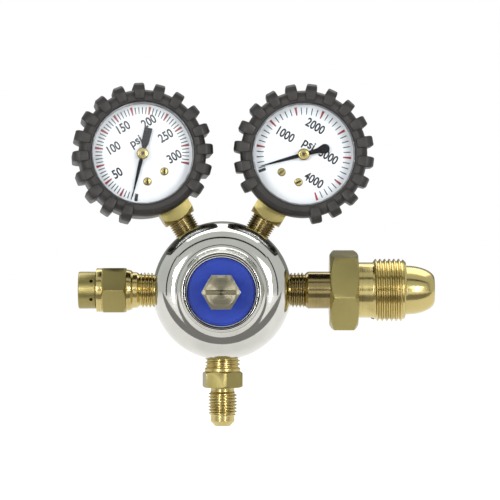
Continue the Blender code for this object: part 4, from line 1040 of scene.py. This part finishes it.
class REGULATOR_OT_stage(Make, bpy.types.Operator):
    """Pale floor, soft lamps, reflector cards and the camera."""
    bl_idname = "regulator.make_stage"
    bl_label = "Stage"

    def make(self):
        scene = bpy.context.scene
        let_go()
        bpy.ops.mesh.primitive_plane_add(size=6, location=(VIEW_X, 0.6, -0.085))
        floor = bpy.context.object
        floor.name = "pale_floor"
        edit()
        bpy.ops.mesh.subdivide(number_cuts=3)
        bpy.ops.object.mode_set(mode="OBJECT")
        mat, tree, where = pale = blank("pale_floor_paint", Roughness=0.9)
        patchy(pale, 400.0, 3.0, [(0.3, "#F4F4F3", 1), (0.7, "#F8F8F7", 1)])
        path = add(tree, "LightPath").outputs
        white, grey = (add(tree, "Emission", {"Color": (*tint, 1), "Strength": strength})
                       for tint, strength in (((1, 1, 1), 1.22), ((1, 0.98, 0.94), 0.27)))
        half = add(tree, "Math", {0: path["Is Glossy Ray"], 1: 0.5}, operation="MULTIPLY")
        seen = add(tree, "Math", {0: path["Is Camera Ray"], 1: half}, operation="MAXIMUM")
        seen = add(tree, "Math", {0: seen, 1: path["Is Transmission Ray"]}, operation="MAXIMUM")
        share = add(tree, "Math", {0: seen, 1: 0.75}, operation="MULTIPLY")
        mix = add(tree, "MixShader", {0: share, 1: tree.nodes["Principled BSDF"], 2: white})
        # A grey strip in front of the object that only reflections show, as a dimmer table edge.
        near = add(tree, "Math", {
            0: spots(tree, where)["Y"], 1: -765 * MM, 2: 85 * MM}, operation="COMPARE")
        strip = add(tree, "Math", {0: near, 1: path["Is Glossy Ray"]}, operation="MULTIPLY")
        shown(mat, add(tree, "MixShader", {0: strip, 1: mix, 2: grey}))
        floor.data.materials.append(mat)

        scene.world = bpy.data.worlds.new("studio")
        scene.world.use_nodes = True
        tree = scene.world.node_tree
        tree.nodes.clear()
        path = add(tree, "LightPath").outputs
        sky, gloss, seen = (
            add(tree, "Background", {"Color": (*tint, 1), "Strength": strength})
            for tint, strength in (((1, 1, 1), 0.64), ((0.97, 1, 0.98), 0.72), ((1, 1, 1), 1.0)))
        first = add(tree, "MixShader", {0: path["Is Glossy Ray"], 1: sky, 2: gloss})
        both = add(tree, "Math", {
            0: path["Is Camera Ray"], 1: path["Is Transmission Ray"]}, operation="MAXIMUM")
        mix = add(tree, "MixShader", {0: both, 1: first, 2: seen})
        add(tree, "OutputWorld", {"Surface": mix})

        middle = (-0.072, 0, 0.015)
        for name, at, size, power in (
                ("left_strip", (-0.60, -1.05, 0.04), (0.16, 0.6), 4.6),
                ("right_strip", (0.46, -1.05, 0.04), (0.16, 0.6), 4.6),
                ("front_left", (-0.85, -1.6, 0.42), (0.9, 0.26), 2.2),
                ("front_right", (0.71, -1.6, 0.42), (0.9, 0.26), 2.2),
                ("top_lamp", (-0.07, 0.45, 1.15), (1.9, 1.1), 12)):
            bpy.ops.object.light_add(type="AREA", location=at, rotation=facing(at, middle, "-Z"))
            lamp = bpy.context.object
            lamp.name = name
            lamp.data.shape, lamp.data.energy = "RECTANGLE", power
            lamp.data.size, lamp.data.size_y = size

        # Dark cards in front and beside, out of view, which the polished metal shows as bands.
        card = patchy(blank("dark_card", Roughness=0.95), 300.0, 3.0,
                      [(0.3, "#1B1A18", 1), (0.7, "#22201E", 1)])
        # A dim backdrop that only reflections show; it draws the upper edges of the metal.
        backdrop, tree, _ = blank("dim_backdrop")
        shown(backdrop, add(tree, "MixShader", {
            0: add(tree, "LightPath").outputs["Is Glossy Ray"],
            1: add(tree, "BsdfTransparent"),
            2: add(tree, "Emission", {"Color": (0.96, 1, 0.94, 1), "Strength": 0.26})}))
        for name, at, size, aim, paint in (
                ("card_camera", (-0.07, -1.9, 0.02), (0.7, 0.5), middle, card),
                ("card_above", (-0.07, -0.74, 0.92), (2.4, 0.2), middle, card),
                ("card_left", (-1.0, -0.45, 0.05), (0.12, 1.3), middle, card),
                ("card_right", (0.86, -0.45, 0.05), (0.12, 1.3), middle, card),
                ("card_behind", (-0.07, 1.9, 0.62), (4.0, 1.1), (-0.07, 0, 0.62), backdrop)):
            bpy.ops.mesh.primitive_plane_add(size=1, location=at, rotation=facing(at, aim, "Z"))
            plane = bpy.context.object
            plane.name = name
            plane.scale = (*size, 1)
            bpy.ops.object.transform_apply()
            plane.data.materials.append(paint)

        bpy.ops.object.camera_add(location=(VIEW_X, -DISTANCE, VIEW_Z),
                                  rotation=(pi / 2, 0, 0))
        camera = bpy.context.object
        camera.name = "camera"
        camera.data.sensor_width = SENSOR
        camera.data.lens = SENSOR * DISTANCE / FRAME_WIDTH
        camera.data.clip_end = 20
        scene.camera = camera
        scene.view_settings.view_transform = "Standard"


STEPS = (REGULATOR_OT_stage, REGULATOR_OT_body, REGULATOR_OT_bonnet, REGULATOR_OT_label_disc,
         REGULATOR_OT_adjusting_screw, REGULATOR_OT_inlet, REGULATOR_OT_relief,
         REGULATOR_OT_outlet, REGULATOR_OT_boots, REGULATOR_OT_crystals, REGULATOR_OT_dials,
         REGULATOR_OT_pointers, REGULATOR_OT_sockets, REGULATOR_OT_inside)


class REGULATOR_PT_panel(bpy.types.Panel):
    """Lists the pieces, with the sizes and colours they are made from."""
    bl_label = "Gas regulator"
    bl_idname = "REGULATOR_PT_panel"
    bl_space_type = "VIEW_3D"
    bl_region_type = "UI"
    bl_category = "Regulator"

    def draw(self, context):
        layout = self.layout
        for group in (context.scene.regulator_sizes, context.scene.regulator_colours):
            part = layout.box()
            for key in group.__annotations__:
                part.prop(group, key)
        for step in STEPS:
            layout.operator(step.bl_idname)


CLASSES = (RegulatorSizes, RegulatorColours, *STEPS, REGULATOR_PT_panel)


def register():
    for cls in CLASSES:
        bpy.utils.register_class(cls)
    bpy.types.Scene.regulator_sizes = PointerProperty(type=RegulatorSizes)
    bpy.types.Scene.regulator_colours = PointerProperty(type=RegulatorColours)


def unregister():
    del bpy.types.Scene.regulator_colours
    del bpy.types.Scene.regulator_sizes
    for cls in reversed(CLASSES):
        bpy.utils.unregister_class(cls)


def main():
    register()
    for step in STEPS:
        group, name = step.bl_idname.split(".")
        if getattr(getattr(bpy.ops, group), name)() != {"FINISHED"}:
            raise RuntimeError(step.bl_label + " was not made")


if __name__ == "__main__":
    main()
